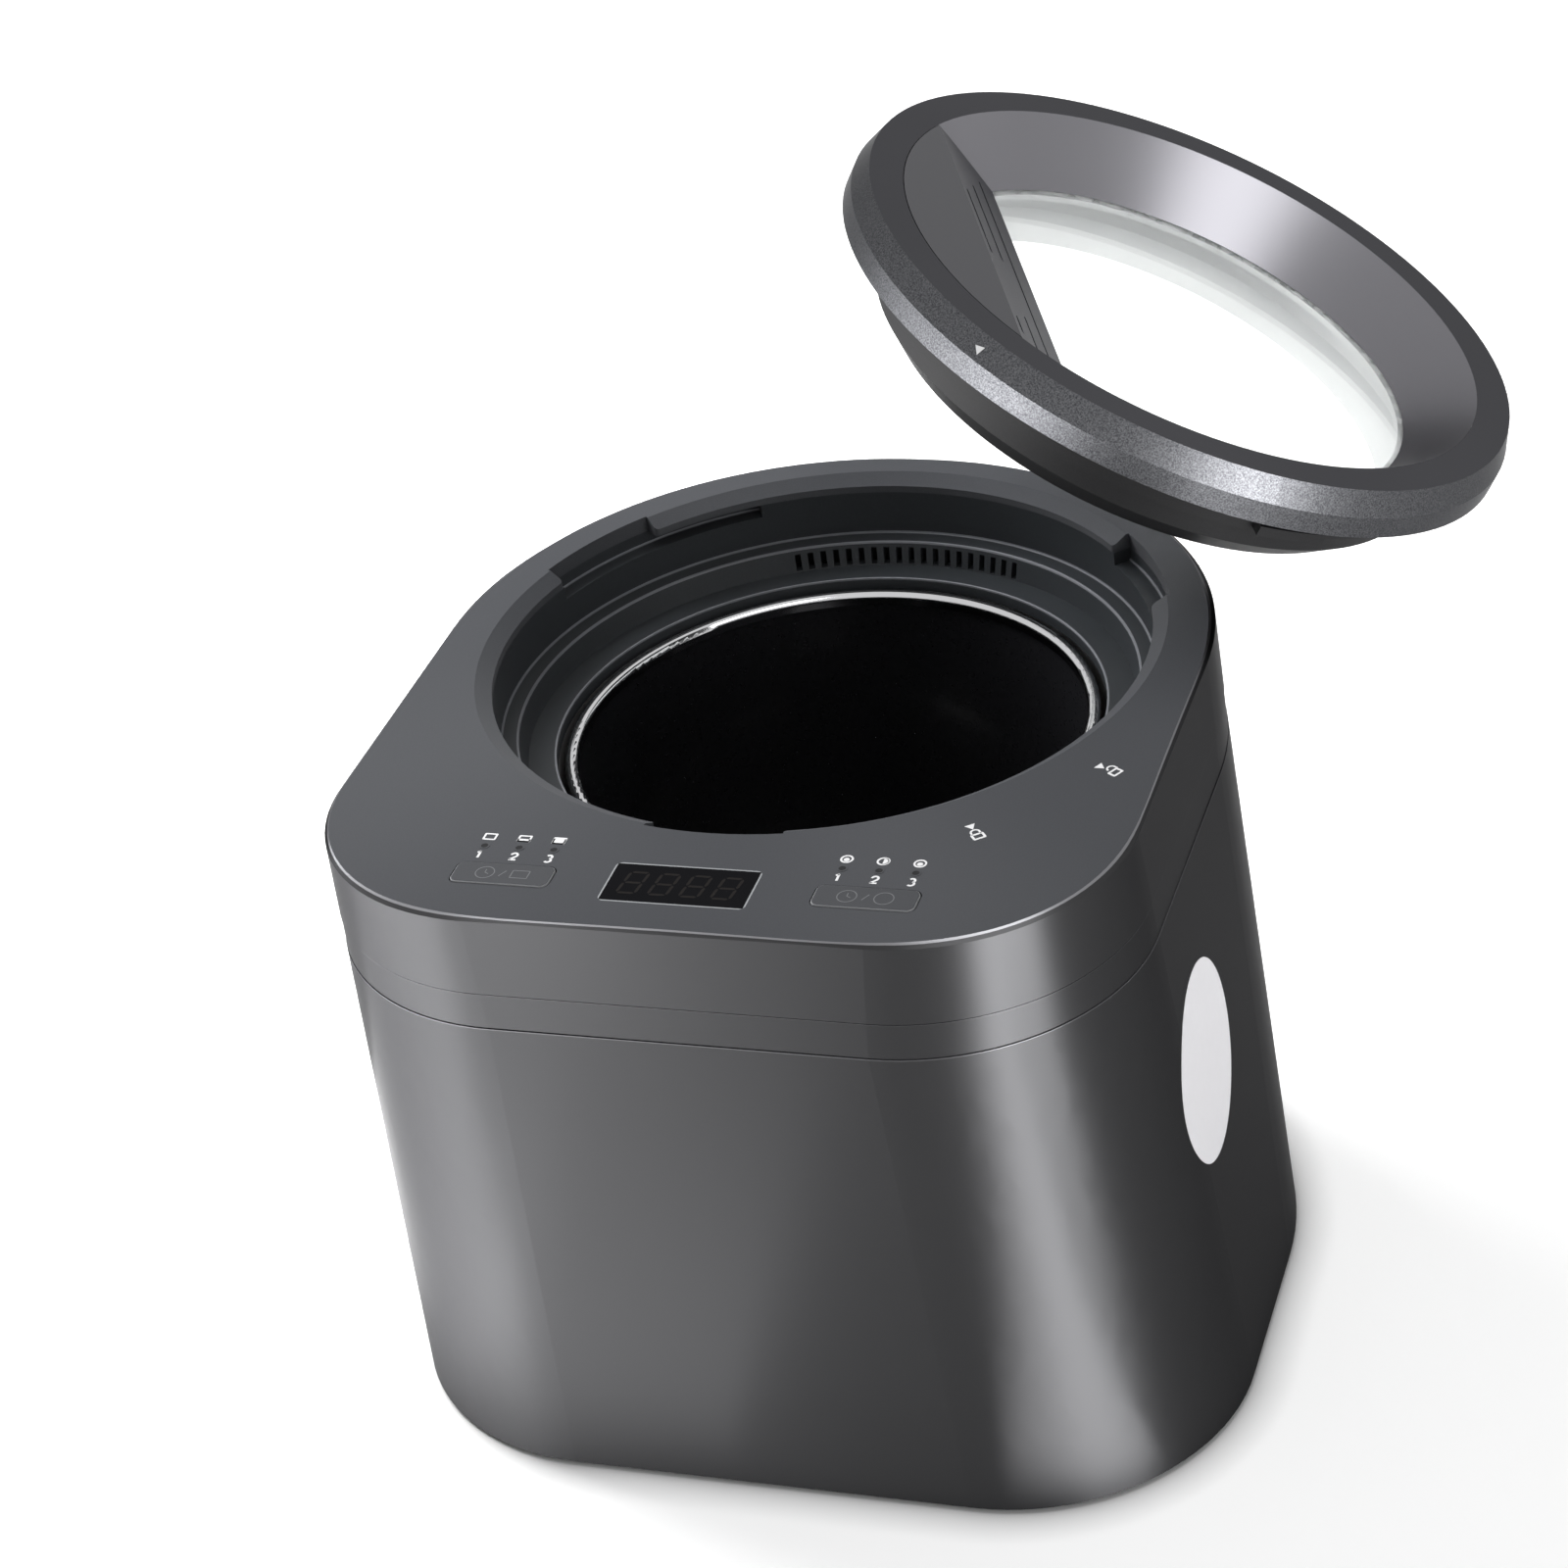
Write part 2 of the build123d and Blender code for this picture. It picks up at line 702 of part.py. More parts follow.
with BuildPart() as bucket:
    turned(
        [
            (shaft_r + bush_wall, bucket_floor),
            (low_r - 4, bucket_floor),
            (low_r - 4, bucket_low),
            (low_r, bucket_low),
            (bucket_r, bucket_top),
            (bucket_r - bucket_wall, bucket_top),
            (low_r - bucket_wall, bucket_floor + bucket_wall + bucket_corner),
            (low_r - bucket_wall - bucket_corner, bucket_floor + bucket_wall),
            (boss_r, bucket_floor + bucket_wall),
            (boss_r - boss_taper, bucket_floor + boss_height),
            (shaft_r + bush_wall, bucket_floor + boss_height),
        ]
    )

with BuildPart() as bucket_rim:
    turned(
        [
            (rim_r - rim_width, bucket_top),
            (rim_r, bucket_top),
            (rim_r, rim_top),
            (rim_r - rim_width, rim_top),
        ]
    )
    fillet(edges().group_by(Axis.Z)[-1], min(rim_roll, 0.45 * rim_width))

with BuildPart() as bucket_bush:
    with BuildSketch(Plane.XY.offset(bucket_floor)):
        Circle(shaft_r + bush_wall)
        Circle(shaft_r + shaft_play, mode=Mode.SUBTRACT)
    extrude(amount=boss_height)

# Two fixed bars that the stirrer sweeps the scraps against.
wall_foot = bucket_floor + bucket_wall + bucket_corner
with BuildPart() as fixed_bars:
    for n, turn in enumerate(bar_turns):
        level = bar_first + bar_rise * n
        wall_r = low_r - bucket_wall + bucket_taper * (level - wall_foot) / (bucket_top - wall_foot)
        bar_r = (wall_r**2 - bar_thick**2 / 4) ** 0.5 - 0.02
        bar_plane = Plane.XY.offset(level).rotated((0, 0, turn))
        with BuildSketch(bar_plane):
            with Locations((bar_r - bar_length / 2, 0)):
                Rectangle(bar_length, bar_thick)
        extrude(amount=bar_height, taper=4)

# ================================================================ stirrer
with BuildPart() as stirrer_shaft:
    with BuildSketch(Plane.XY.offset(bucket_floor)):
        Circle(shaft_r)
    extrude(amount=hub_top - bucket_floor - 6)
    with BuildSketch(Plane.XY.offset(bucket_floor)):
        Rectangle(tongue_length, tongue_width)
    extrude(amount=-tongue_height)

low_arm = bucket_floor + bucket_wall + arm_lift
bell_top = bucket_floor + boss_height + 1
arm_reach = low_r - bucket_wall - wall_gap
with BuildPart() as stirrer:
    # bell-shaped hub over the boss
    turned(
        [
            (boss_r + bell_gap, low_arm),
            (boss_r + bell_gap + bell_wall, low_arm),
            (boss_r + bell_gap + bell_wall - 1, low_arm + arm_height),
            (hub_r + 2, bell_top + 8),
            (hub_r, hub_top - hub_nose),
            (hub_r - hub_nose, hub_top),
            (0, hub_top),
            (0, hub_top - 6),
            (shaft_r, hub_top - 6),
            (shaft_r, bell_top),
            (boss_r - boss_taper + bell_gap, bell_top),
        ]
    )
    # two swept arms, the low one a plough along the floor
    for level, turn, start in ((0, 0, boss_r + bell_gap + 1), (arm_pitch, 180, hub_r - 1)):
        with BuildSketch(Plane.XY.offset(low_arm + level).rotated((0, 0, turn))):
            with BuildLine():
                tip_back = arm_sweep + degrees(arm_thick / arm_reach)
                front = ThreePointArc(
                    (start, -arm_thick / 2 - 1),
                    (arm_reach * 0.55, arm_reach * 0.55 * sin(radians(arm_sweep)) * 0.45),
                    (arm_reach * cos(radians(arm_sweep)), arm_reach * sin(radians(arm_sweep))),
                )
                back = ThreePointArc(
                    (start, arm_thick / 2 + 1),
                    (arm_reach * 0.54, arm_reach * 0.54 * sin(radians(arm_sweep)) * 0.45 + arm_thick),
                    (arm_reach * cos(radians(tip_back)), arm_reach * sin(radians(tip_back))),
                )
                Line(front @ 0, back @ 0)
                Line(front @ 1, back @ 1)
            make_face()
        extrude(amount=arm_height, taper=6)

coupling_top = bucket_floor - coupling_gap
with BuildPart() as output_coupling:
    with BuildSketch(Plane.XY.offset(gearbox_top - bearing_height - 5)):
        Circle(output_r)
    extrude(amount=bearing_height + 5 + 12)
    with BuildSketch(Plane.XY.offset(gearbox_top + 4)):
        Circle(coupling_r - 2)
    extrude(amount=8)
    with BuildSketch(Plane.XY.offset(gearbox_top + 12)):
        Circle(coupling_r)
    extrude(amount=coupling_top - gearbox_top - 12)
    with BuildSketch(Plane.XY.offset(coupling_top)):
        Rectangle(2 * coupling_r + 2, tongue_width + 2 * tongue_play)
    extrude(amount=-(tongue_height - coupling_gap + 2 * slip), mode=Mode.SUBTRACT)

with BuildPart() as fan_rotor:
    rotor_front = fan_y + 2
    rotor_depth = fan_thick - 5
    with BuildSketch(Plane.XZ.offset(-rotor_front)):
        with Locations((0, fan_z)):
            Circle(fan_hub_r)
    extrude(amount=-rotor_depth)
    for n in range(fan_blades):
        blade_turn = 360 / fan_blades * n
        reach = fan_bore - fan_tip_gap - fan_hub_r + 1
        blade_plane = Plane(
            origin=(
                (fan_hub_r - 1) * cos(radians(blade_turn)),
                rotor_front + rotor_depth / 2,
                fan_z + (fan_hub_r - 1) * sin(radians(blade_turn)),
            ),
            x_dir=(-sin(radians(blade_turn)), 0.9, cos(radians(blade_turn))),
            z_dir=(cos(radians(blade_turn)), 0, sin(radians(blade_turn))),
        )
        with BuildSketch(blade_plane):
            Rectangle(rotor_depth * 0.95, 1.2)
        extrude(amount=reach)

# ================================================================ lid
# The lid is drawn level over the opening, locked, then set in its place.
lid_place = Plane(
    origin=(lid_x, lid_y, deck_z + lid_rise),
    x_dir=(cos(radians(lid_spin)), sin(radians(lid_spin)), 0),
)
tip = (-sin(radians(lid_tilt_towards)), cos(radians(lid_tilt_towards)), 0)
tip_axis = Axis((lid_x, lid_y, deck_z + lid_rise), tip)


def in_place(part):
    """Move a level piece of the lid to where the lifted lid hangs."""
    return (lid_place.location * part).rotate(tip_axis, lid_tilt)


def cone_r(z, inset=0.0):
    """Radius of the lid's bowl at a height over the lid's edge."""
    slope = (bowl_r - glass_seat_r) / (lid_top + glass_low)
    return glass_seat_r + slope * (z + glass_low) - inset


glass_top = -glass_low
with BuildPart() as lid_ring:
    pocket_r = skirt_r + 0.3
    turned(
        [
            (lid_r, 0),
            (lid_r, lid_top - lid_bevel_drop),
            (lid_r - lid_bevel_run, lid_top),
            (bowl_r, lid_top),
            (glass_seat_r, glass_top),
            (glass_seat_r + cone_wall, glass_top),
            (cone_r(8) + cone_wall, 8),
            (skirt_r - skirt_wall - 0.3, skirt_socket),
            (pocket_r, skirt_socket),
            (pocket_r, 0),
            (gasket_in - gasket_play, 0),
            (gasket_in - gasket_play, gasket_high + gasket_play),
            (gasket_out + gasket_play, gasket_high + gasket_play),
            (gasket_out + gasket_play, 0),
        ]
    )
    # closed track of the stop ball, as long as the lid's turn
    with BuildSketch(Plane.XY.offset(ball_z - ball_r - ball_play)):
        track_start = ball_angle - lock_turn
        ring_sector(
            ball_track_r - ball_r - ball_play,
            ball_track_r + ball_r + ball_play,
            track_start,
            lock_turn,
        )
        for end in (track_start, track_start + lock_turn):
            with Locations(
                (ball_track_r * cos(radians(end)), ball_track_r * sin(radians(end)))
            ):
                Circle(ball_r + ball_play)
    extrude(amount=2 * (ball_r + ball_play), mode=Mode.SUBTRACT)

shelf = glass_top - glass_thick
inner_neck_r = skirt_neck_r - skirt_wall
with BuildPart() as lid_skirt:
    turned(
        [
            (skirt_r - skirt_wall, skirt_socket),
            (skirt_r, skirt_socket),
            (skirt_r, -skirt_step),
            (skirt_neck_r, -skirt_step),
            (skirt_neck_r, -skirt_knee),
            (skirt_foot_r, -skirt_low),
            (skirt_foot_r - skirt_wall, -skirt_low),
            (inner_neck_r, -skirt_knee + 1),
            (inner_neck_r, shelf - seal_thick),
            (skirt_r - skirt_wall, shelf - seal_thick),
        ]
    )
    # bayonet lugs
    with BuildSketch(Plane.XY.offset(-lug_low)):
        for n in range(notch_count):
            middle = notch_first - lock_turn + 360 / notch_count * n
            ring_sector(skirt_r - skirt_wall / 2, lug_r, middle - lug_half, 2 * lug_half)
    extrude(amount=lug_low - lug_top)

# Pale silicone sleeve: holds the window from below and lines the neck.
with BuildPart() as window_seal:
    foot_in = skirt_foot_r - skirt_wall
    turned(
        [
            (glass_seat_r - seal_lip, shelf),
            (skirt_r - skirt_wall, shelf),
            (skirt_r - skirt_wall, shelf - seal_thick),
            (inner_neck_r, shelf - seal_thick),
            (inner_neck_r, -skirt_knee + 1),
            (foot_in, -skirt_low),
            (foot_in - seal_thick / 2, -skirt_low),
            (inner_neck_r - seal_thick, -skirt_knee + 1),
            (inner_neck_r - seal_thick, shelf - 2 * seal_thick),
            (glass_seat_r - seal_lip, shelf - seal_thick),
        ]
    )

cover_chord_low = cover_chord - cover_lean
chord_cut = cover_chord_low + 1
with BuildPart() as lid_glass:
    with BuildSketch(Plane.XY.offset(glass_top)):
        Circle(glass_r)
        with Locations((0, -chord_cut - glass_r / 2)):
            Rectangle(2 * glass_r, glass_r, mode=Mode.SUBTRACT)
    extrude(amount=-glass_thick)

with BuildPart() as filter_grate:
    with BuildSketch(Plane.XY.offset(glass_top)):
        Circle(glass_r)
        with Locations((0, glass_r - chord_cut + cover_gap)):
            Rectangle(2.2 * glass_r, 2 * glass_r + 2 * cover_gap, mode=Mode.SUBTRACT)
        with Locations((0, (chord_cut + glass_r) / -2)):
            with GridLocations(1, grate_pitch, 1, grate_slots):
                SlotOverall(*grate_slot, mode=Mode.SUBTRACT)
    extrude(amount=-glass_thick)


def bowl_segment(inset, z_low, z_high, back):
    """Filling of the bowl beyond a plane that slopes down to the window."""
    lean = cover_lean / (lid_top + glass_low)
    turned([(0, z_low), (cone_r(z_low, inset), z_low), (cone_r(z_high, inset), z_high), (0, z_high)])
    low_y = -(cover_chord_low + lean * (z_low + glass_low)) - back
    high_y = -(cover_chord_low + lean * (z_high + glass_low)) - back
    with BuildSketch(Plane.YZ) as front:
        with BuildLine():
            Polyline(
                (low_y, z_low),
                (high_y, z_high),
                (high_y, z_high + 1),
                (lid_r, z_high + 1),
                (lid_r, z_low - 1),
                (low_y, z_low - 1),
                close=True,
            )
        make_face()
    extrude(front.sketch, amount=lid_r, both=True, mode=Mode.SUBTRACT)


with BuildPart() as vent_cover_core:
    bowl_segment(cover_gap + cover_wall, glass_top, lid_top - cover_wall, cover_wall * 1.6)

with BuildPart() as vent_cover:
    bowl_segment(cover_gap, glass_top + 0.1, lid_top, 0)
    add(vent_cover_core.part, mode=Mode.SUBTRACT)
    # louvres through the sloped face: one long, two broken by the thumb's place
    for share, slots in louvres:
        row_y = -(cover_chord_low + cover_lean * share)
        row_z = -glass_low + (lid_top + glass_low) * share
        with BuildSketch(Plane.XZ.offset(-row_y)):
            for start, end in slots:
                with Locations(((start + end) / 2, row_z)):
                    SlotOverall(end - start, louvre_height)
        extrude(amount=3 * cover_wall, mode=Mode.SUBTRACT)

with BuildPart() as carbon_filter:
    bowl_segment(
        cover_gap + cover_wall + filter_gap,
        glass_top,
        lid_top - cover_wall - filter_gap,
        cover_wall * 1.6 + filter_gap,
    )

with BuildPart() as lid_gasket:
    turned(
        [
            (gasket_in, 0),
            (gasket_out, 0),
            (gasket_out, gasket_high),
            (gasket_in, gasket_high),
        ]
    )
    fillet(edges().group_by(Axis.Z)[0], 0.8)

with BuildPart() as stop_ball:
    with Locations(
        (
            ball_track_r * cos(radians(ball_angle - lock_turn)),
            ball_track_r * sin(radians(ball_angle - lock_turn)),
            ball_z,
        )
    ):
        Sphere(ball_r)

# ================================================================ files
for piece, name in (
    (top_cover, "top_cover"),
    (trim_band, "trim_band"),
    (outer_shell, "outer_shell"),
    (base_pan, "base_pan"),
    (rubber_feet, "rubber_feet"),
    (base_screws, "base_screws"),
    (well_liner, "well_liner"),
    (chamber_can, "chamber_can"),
    (heater_plate, "heater_plate"),
    (gear_motor, "gear_motor"),
    (output_bearing, "output_bearing"),
    (chamber_bracket, "chamber_bracket"),
    (fan_frame, "fan_frame"),
    (exhaust_duct, "exhaust_duct"),
    (power_inlet, "power_inlet"),
    (power_board, "power_board"),
    (control_board, "control_board"),
    (display_window, "display_window"),
    (status_lamps, "status_lamps"),
    (bucket, "bucket"),
    (bucket_rim, "bucket_rim"),
    (bucket_bush, "bucket_bush"),
    (fixed_bars, "fixed_bars"),
    (stirrer_shaft, "stirrer_shaft"),
    (stirrer, "stirrer"),
    (output_coupling, "output_coupling"),
    (fan_rotor, "fan_rotor"),
):
    save(piece.part, name)

save(left_button, "left_button")
save(right_button, "right_button")

for piece, name in (
    (lid_ring, "lid_ring"),
    (lid_skirt, "lid_skirt"),
    (lid_glass, "lid_glass"),
    (window_seal, "window_seal"),
    (filter_grate, "filter_grate"),
    (vent_cover, "vent_cover"),
    (carbon_filter, "carbon_filter"),
    (lid_gasket, "lid_gasket"),
    (stop_ball, "stop_ball"),
):
    save(in_place(piece.part), name)
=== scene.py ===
import math
import bpy
import numpy as np
from mathutils import Matrix, Vector


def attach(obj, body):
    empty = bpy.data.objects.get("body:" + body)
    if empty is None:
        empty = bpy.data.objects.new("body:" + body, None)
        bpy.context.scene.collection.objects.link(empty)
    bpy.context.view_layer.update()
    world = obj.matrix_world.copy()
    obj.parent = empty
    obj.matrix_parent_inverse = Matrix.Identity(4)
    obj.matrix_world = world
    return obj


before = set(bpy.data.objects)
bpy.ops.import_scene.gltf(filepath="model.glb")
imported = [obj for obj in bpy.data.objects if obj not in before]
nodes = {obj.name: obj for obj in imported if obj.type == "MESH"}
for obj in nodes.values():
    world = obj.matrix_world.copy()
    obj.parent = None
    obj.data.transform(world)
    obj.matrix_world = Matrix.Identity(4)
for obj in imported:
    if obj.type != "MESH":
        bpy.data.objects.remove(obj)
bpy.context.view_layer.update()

# ---- Camera ------------------------------------------------------------------
# Stands 1.35 m off and looks down at the front and the right side from about 32
# degrees above the worktop, rolled a little.
eye = Vector((0.37757, -0.99036, 0.83468))
right = Vector((0.94745, 0.29283, -0.12876))
down = Vector((0.05403, -0.54321, -0.83785))
forward = Vector((-0.31529, 0.78687, -0.53049))
sensor_width = 36.0
frame_pixels, focal_pixels = 1600, 3955.5
lens = bpy.data.cameras.new("camera")
lens.sensor_width = sensor_width
lens.lens = focal_pixels / frame_pixels * sensor_width
lens.clip_end = 50
camera = bpy.data.objects.new("camera", lens)
turn = Matrix((right, -down, -forward)).transposed().to_4x4()
camera.matrix_world = Matrix.Translation(eye) @ turn
bpy.context.scene.collection.objects.link(camera)
bpy.context.scene.camera = camera
bpy.context.scene.view_settings.view_transform = "Standard"

# ---- Studio ------------------------------------------------------------------
# A white worktop in a white surround. Two soft boxes light the matt surfaces.
# Upright strips, cards laid on the worktop and a high soft box show only as
# reflections, as reflectors do that stand round a lacquered appliance.


class Sock:
    """A shader value. Python's operators on it add Math nodes to its finish."""

    def __init__(self, finish, link):
        self.finish, self.link = finish, link

    def _math(self, operation, *values):
        return self.finish.node("ShaderNodeMath", {"operation": operation}, dict(enumerate(values)))

    def __add__(self, other):
        return self._math("ADD", self, other)

    def __sub__(self, other):
        return self._math("SUBTRACT", self, other)

    def __rsub__(self, other):
        return self._math("SUBTRACT", other, self)

    def __mul__(self, other):
        return self._math("MULTIPLY", self, other)

    def __truediv__(self, other):
        return self._math("DIVIDE", self, other)

    def __pow__(self, other):
        return self._math("POWER", self, other)

    def most(self, other):
        return self._math("MAXIMUM", self, other)

    def least(self, other):
        return self._math("MINIMUM", self, other)

    def size(self):
        return self._math("ABSOLUTE", self)

    def above(self, level):
        return self._math("GREATER_THAN", self, level)

    def under(self, level):
        return self._math("LESS_THAN", self, level)

    def held(self):
        """The value, kept between 0 and 1."""
        return self.most(0.0).least(1.0)

    def hypot(self, other):
        """The root of the sum of two squares."""
        return self._math("SQRT", self * self + other * other)

    __radd__, __rmul__ = __add__, __mul__


class Finish:
    """One material, built from nodes round its Principled shader."""

    def __init__(self, name):
        self.material = bpy.data.materials.new(name)
        self.material.use_nodes = True
        self.tree = self.material.node_tree
        self.shader = self.tree.nodes["Principled BSDF"]

    def feed(self, socket, value):
        """Links a Sock to a socket, or writes a plain value or colour there."""
        if isinstance(value, Sock):
            self.tree.links.new(value.link, socket)
        else:
            socket.default_value = (*value, 1) if socket.type == "RGBA" else value

    def node(self, kind, settings=None, values=None, out=0):
        """Adds a node: its settings first, then its sockets' values or links."""
        made = self.tree.nodes.new(kind)
        for key, value in (settings or {}).items():
            setattr(made, key, value)
        for key, value in (values or {}).items():
            self.feed(made.inputs[key], value)
        return Sock(self, made.outputs[out])

    def set(self, **values):
        """Values or links of the Principled shader, with _ for spaces."""
        for key, value in values.items():
            self.feed(self.shader.inputs[key.replace("_", " ")], value)

    def part(self, vector, axis):
        """One number of a vector: axis is 0, 1 or 2 for its x, y or z."""
        return self.node("ShaderNodeSeparateXYZ", None, {0: vector}, axis)

    def place(self, axis=None):
        """Object coordinates, or one of them in metres."""
        spot = self.node("ShaderNodeTexCoord", out="Object")
        return spot if axis is None else self.part(spot, axis)

    def noise(self, scale, detail, rough, where=None):
        values = {"Vector": where or self.place(), "Scale": scale, "Detail": detail, "Roughness": rough}
        return self.node("ShaderNodeTexNoise", None, values)

    def blend(self, share, first, second):
        """Colour that goes from first to second as share goes from 0 to 1."""
        return self.node("ShaderNodeMix", {"data_type": "RGBA"}, {0: share, 6: first, 7: second}, 2)

    def bump(self, height, depth, strength):
        """Surface relief from a height of 0 to 1, depth metres high."""
        return self.node("ShaderNodeBump", None, {"Height": height, "Distance": depth, "Strength": strength})

    def grained(self, texture, dark, light, rough, relief=None):
        """An even surface whose noise mottles its colour from dark to light, its
        roughness from rough[0] by rough[1] more, and its relief."""
        grain = self.noise(*texture)
        self.set(Base_Color=self.blend(grain, dark, light), Roughness=grain * rough[1] + rough[0])
        if relief:
            self.set(Normal=self.bump(grain, *relief))

    def on(self, *names):
        """Gives this finish to nodes of the frame."""
        for name in names:
            data = nodes[name].data
            data.materials.clear()
            data.materials.append(self.material)


floor_reach, floor_grey = 6.0, (0.85, 0.85, 0.85)
pool_radius, pool_dim = 0.45, 0.6  # the glow is dimmer inside this circle
foot_half_width, foot_half_depth, foot_middle = 0.140, 0.1275, -0.022
front_corner, rear_corner = 0.074, 0.122
contact_width = 0.014
worktop = Finish("worktop")
worktop.set(Base_Color=floor_grey, Roughness=0.6, Specular_IOR_Level=0.0)
seen = worktop.node("ShaderNodeLightPath", out="Is Camera Ray")
for kind in ("Is Glossy Ray", "Is Transmission Ray"):
    seen = seen.most(worktop.node("ShaderNodeLightPath", out=kind))
across, along = worktop.place(0), worktop.place(1)
away = (across.hypot(along) - pool_radius).held()
# The distance outside a rounded box, whose front and rear corners differ, darkens
# the glow close to the footprint: a painted contact shadow, in which the lamps' own
# shade also shows.
corner = (1 - along.above(foot_middle)) * (front_corner - rear_corner) + rear_corner
out_x = across.size() - foot_half_width + corner
out_y = (along - foot_middle).size() - foot_half_depth + corner
gap = out_x.most(0.0).hypot(out_y.most(0.0)) + out_x.most(out_y).least(0.0) - corner
clear_of_contact_shadow = (gap / contact_width).held() ** 0.5
glow = seen * clear_of_contact_shadow * (away * (1 - pool_dim) + pool_dim)
worktop.set(Emission_Color=worktop.blend(glow, (0.0, 0.0, 0.0), (1.0, 1.0, 1.0)), Emission_Strength=1.0)
sheet = bpy.data.meshes.new("worktop")
corners = [(-floor_reach, -floor_reach, 0), (floor_reach, -floor_reach, 0),
           (floor_reach, floor_reach, 0), (-floor_reach, floor_reach, 0)]
sheet.from_pydata(corners, [], [(0, 1, 2, 3)])
sheet.materials.append(worktop.material)
floor = bpy.data.objects.new("worktop", sheet)
bpy.context.scene.collection.objects.link(floor)

# The surround lights the object faintly. Where it is seen itself, mirrored or
# through glass too, it is white.
world = bpy.data.worlds.new("surround")
bpy.context.scene.world = world
world.use_nodes = True
tree = world.node_tree
ambient, white = tree.nodes["Background"], tree.nodes.new("ShaderNodeBackground")
for light, strength in ((ambient, 0.32), (white, 1.0)):
    light.inputs["Color"].default_value = (1, 1, 1, 1)
    light.inputs["Strength"].default_value = strength
path = tree.nodes.new("ShaderNodeLightPath")
seen = path.outputs["Is Camera Ray"]
for kind in ("Is Transmission Ray", "Is Glossy Ray"):
    either = tree.nodes.new("ShaderNodeMath")
    either.operation = "MAXIMUM"
    tree.links.new(seen, either.inputs[0])
    tree.links.new(path.outputs[kind], either.inputs[1])
    seen = either.outputs[0]
chosen = tree.nodes.new("ShaderNodeMixShader")
for socket, link in enumerate((seen, ambient.outputs[0], white.outputs[0])):
    tree.links.new(link, chosen.inputs[socket])
tree.links.new(chosen.outputs[0], tree.nodes["World Output"].inputs["Surface"])


def soft_box(name, place, aim, size, power, diffuse=True, glossy=True):
    """A rectangular area lamp at place that shines towards aim."""
    light = bpy.data.lights.new(name, "AREA")
    light.shape = "RECTANGLE"
    light.size, light.size_y = size
    light.energy = power
    lamp = bpy.data.objects.new(name, light)
    way = (Vector(aim) - Vector(place)).normalized()
    lamp.matrix_world = Matrix.Translation(place) @ way.to_track_quat("-Z", "Y").to_matrix().to_4x4()
    lamp.visible_diffuse, lamp.visible_glossy = diffuse, glossy
    bpy.context.scene.collection.objects.link(lamp)
    return lamp


def strip(name, turn, width, power):
    """An upright reflector that stands on a circle round the object, seen only in
    gloss; turn is its place on the circle in degrees."""
    reach, height, lift = 0.75, 0.2, 0.02
    angle, middle = math.radians(turn), height / 2 + lift
    place = (reach * math.cos(angle), reach * math.sin(angle), middle)
    soft_box(name, place, (0, 0, middle), (width, height), power, diffuse=False)


def low_card(name, x, y, turn, size, power):
    """A reflector laid on the worktop, face up, seen only in gloss."""
    place = (x, y, 0.001)
    card = soft_box(name, place, (x, y, 1.0), size, power, diffuse=False)
    spin, face_up = Matrix.Rotation(math.radians(turn), 4, "Z"), Matrix.Rotation(math.pi, 4, "X")
    card.matrix_world = Matrix.Translation(place) @ spin @ face_up
    card.visible_camera = False


soft_box("overhead", (-0.58, 0.25, 0.72), (-0.1, 0, 0.2), (0.6, 0.6), 14, glossy=False)
soft_box("right_fill", (1.4, -0.7, 0.4), (0.1, -0.1, 0.12), (0.8, 0.6), 8, glossy=False)
soft_box("bowl_light", (0.75, -0.6, 1.5), (0.09, 0.13, 0.27), (1.1, 0.8), 17, diffuse=False)
strip("left_strip", -158, 1.05, 20)
strip("front_strip", -115, 0.24, 2.2)
strip("right_strip", -42, 0.36, 10)
low_card("left_card", -0.255, -0.15, 25, (0.20, 0.30), 1.6)
low_card("front_card", -0.09, -0.245, 0, (0.14, 0.14), 0.15)
low_card("right_card", 0.178, -0.238, -50, (0.22, 0.08), 0.42)

# ---- Shell and trim band -----------------------------------------------------
# Moulded shell in gunmetal lacquer, very fine flake under a satin clear coat. The
# band between the shell and the top cover has the same finish, and along the edges
# of its two fine seams a thin painted highlight is set in the colour.
gunmetal = (0.042, 0.042, 0.0435)
satin_coat = {"Anisotropic": 0.85, "Anisotropic_Rotation": 0.25, "Specular_Tint": (0.4, 0.4, 0.4)}
seam_low, seam_high, seam_highlight_width = 0.1837, 0.1959, 0.0002


def shade(colour, share):
    return tuple(c * share for c in colour)


shell = Finish("shell_lacquer")
flake, drift = shell.noise(5200, 1.0, 0.5), shell.noise(7.0, 2.0, 0.5)
paint = shell.blend((flake * 0.6 + drift * 0.4).held(), shade(gunmetal, 0.86), shade(gunmetal, 1.12))
height = shell.place(2)
# Painted highlight: a paler colour in a thin band at each seam's height.
seam_highlight = (height - seam_low).size().least((height - seam_high).size()).under(seam_highlight_width)
shell.set(Base_Color=shell.blend(seam_highlight, paint, (0.095, 0.095, 0.10)), Metallic=1.0)
shell.set(Roughness=drift * 0.04 + 0.38, Normal=shell.bump(flake, 0.00001, 0.08), **satin_coat)
shell.on("outer_shell", "trim_band")

# ---- Base, feet and rear fittings --------------------------------------------
# The base pan, the fan with its frame and duct, and the mains inlet are black
# mouldings with a fine grain. The four feet are pressed-in rubber.
black_moulding = Finish("black_moulding")
black_moulding.grained((1400, 3.0, 0.6), (0.016, 0.016, 0.017), (0.03, 0.03, 0.032), (0.45, 0.2), (0.00004, 0.3))
black_moulding.on("base_pan", "fan_frame", "fan_rotor", "exhaust_duct", "power_inlet")

foot_rubber = Finish("foot_rubber")
foot_rubber.grained((900, 3.0, 0.6), (0.012, 0.012, 0.012), (0.028, 0.028, 0.028), (0.75, 0.15), (0.00005, 0.4))
foot_rubber.on("rubber_feet")
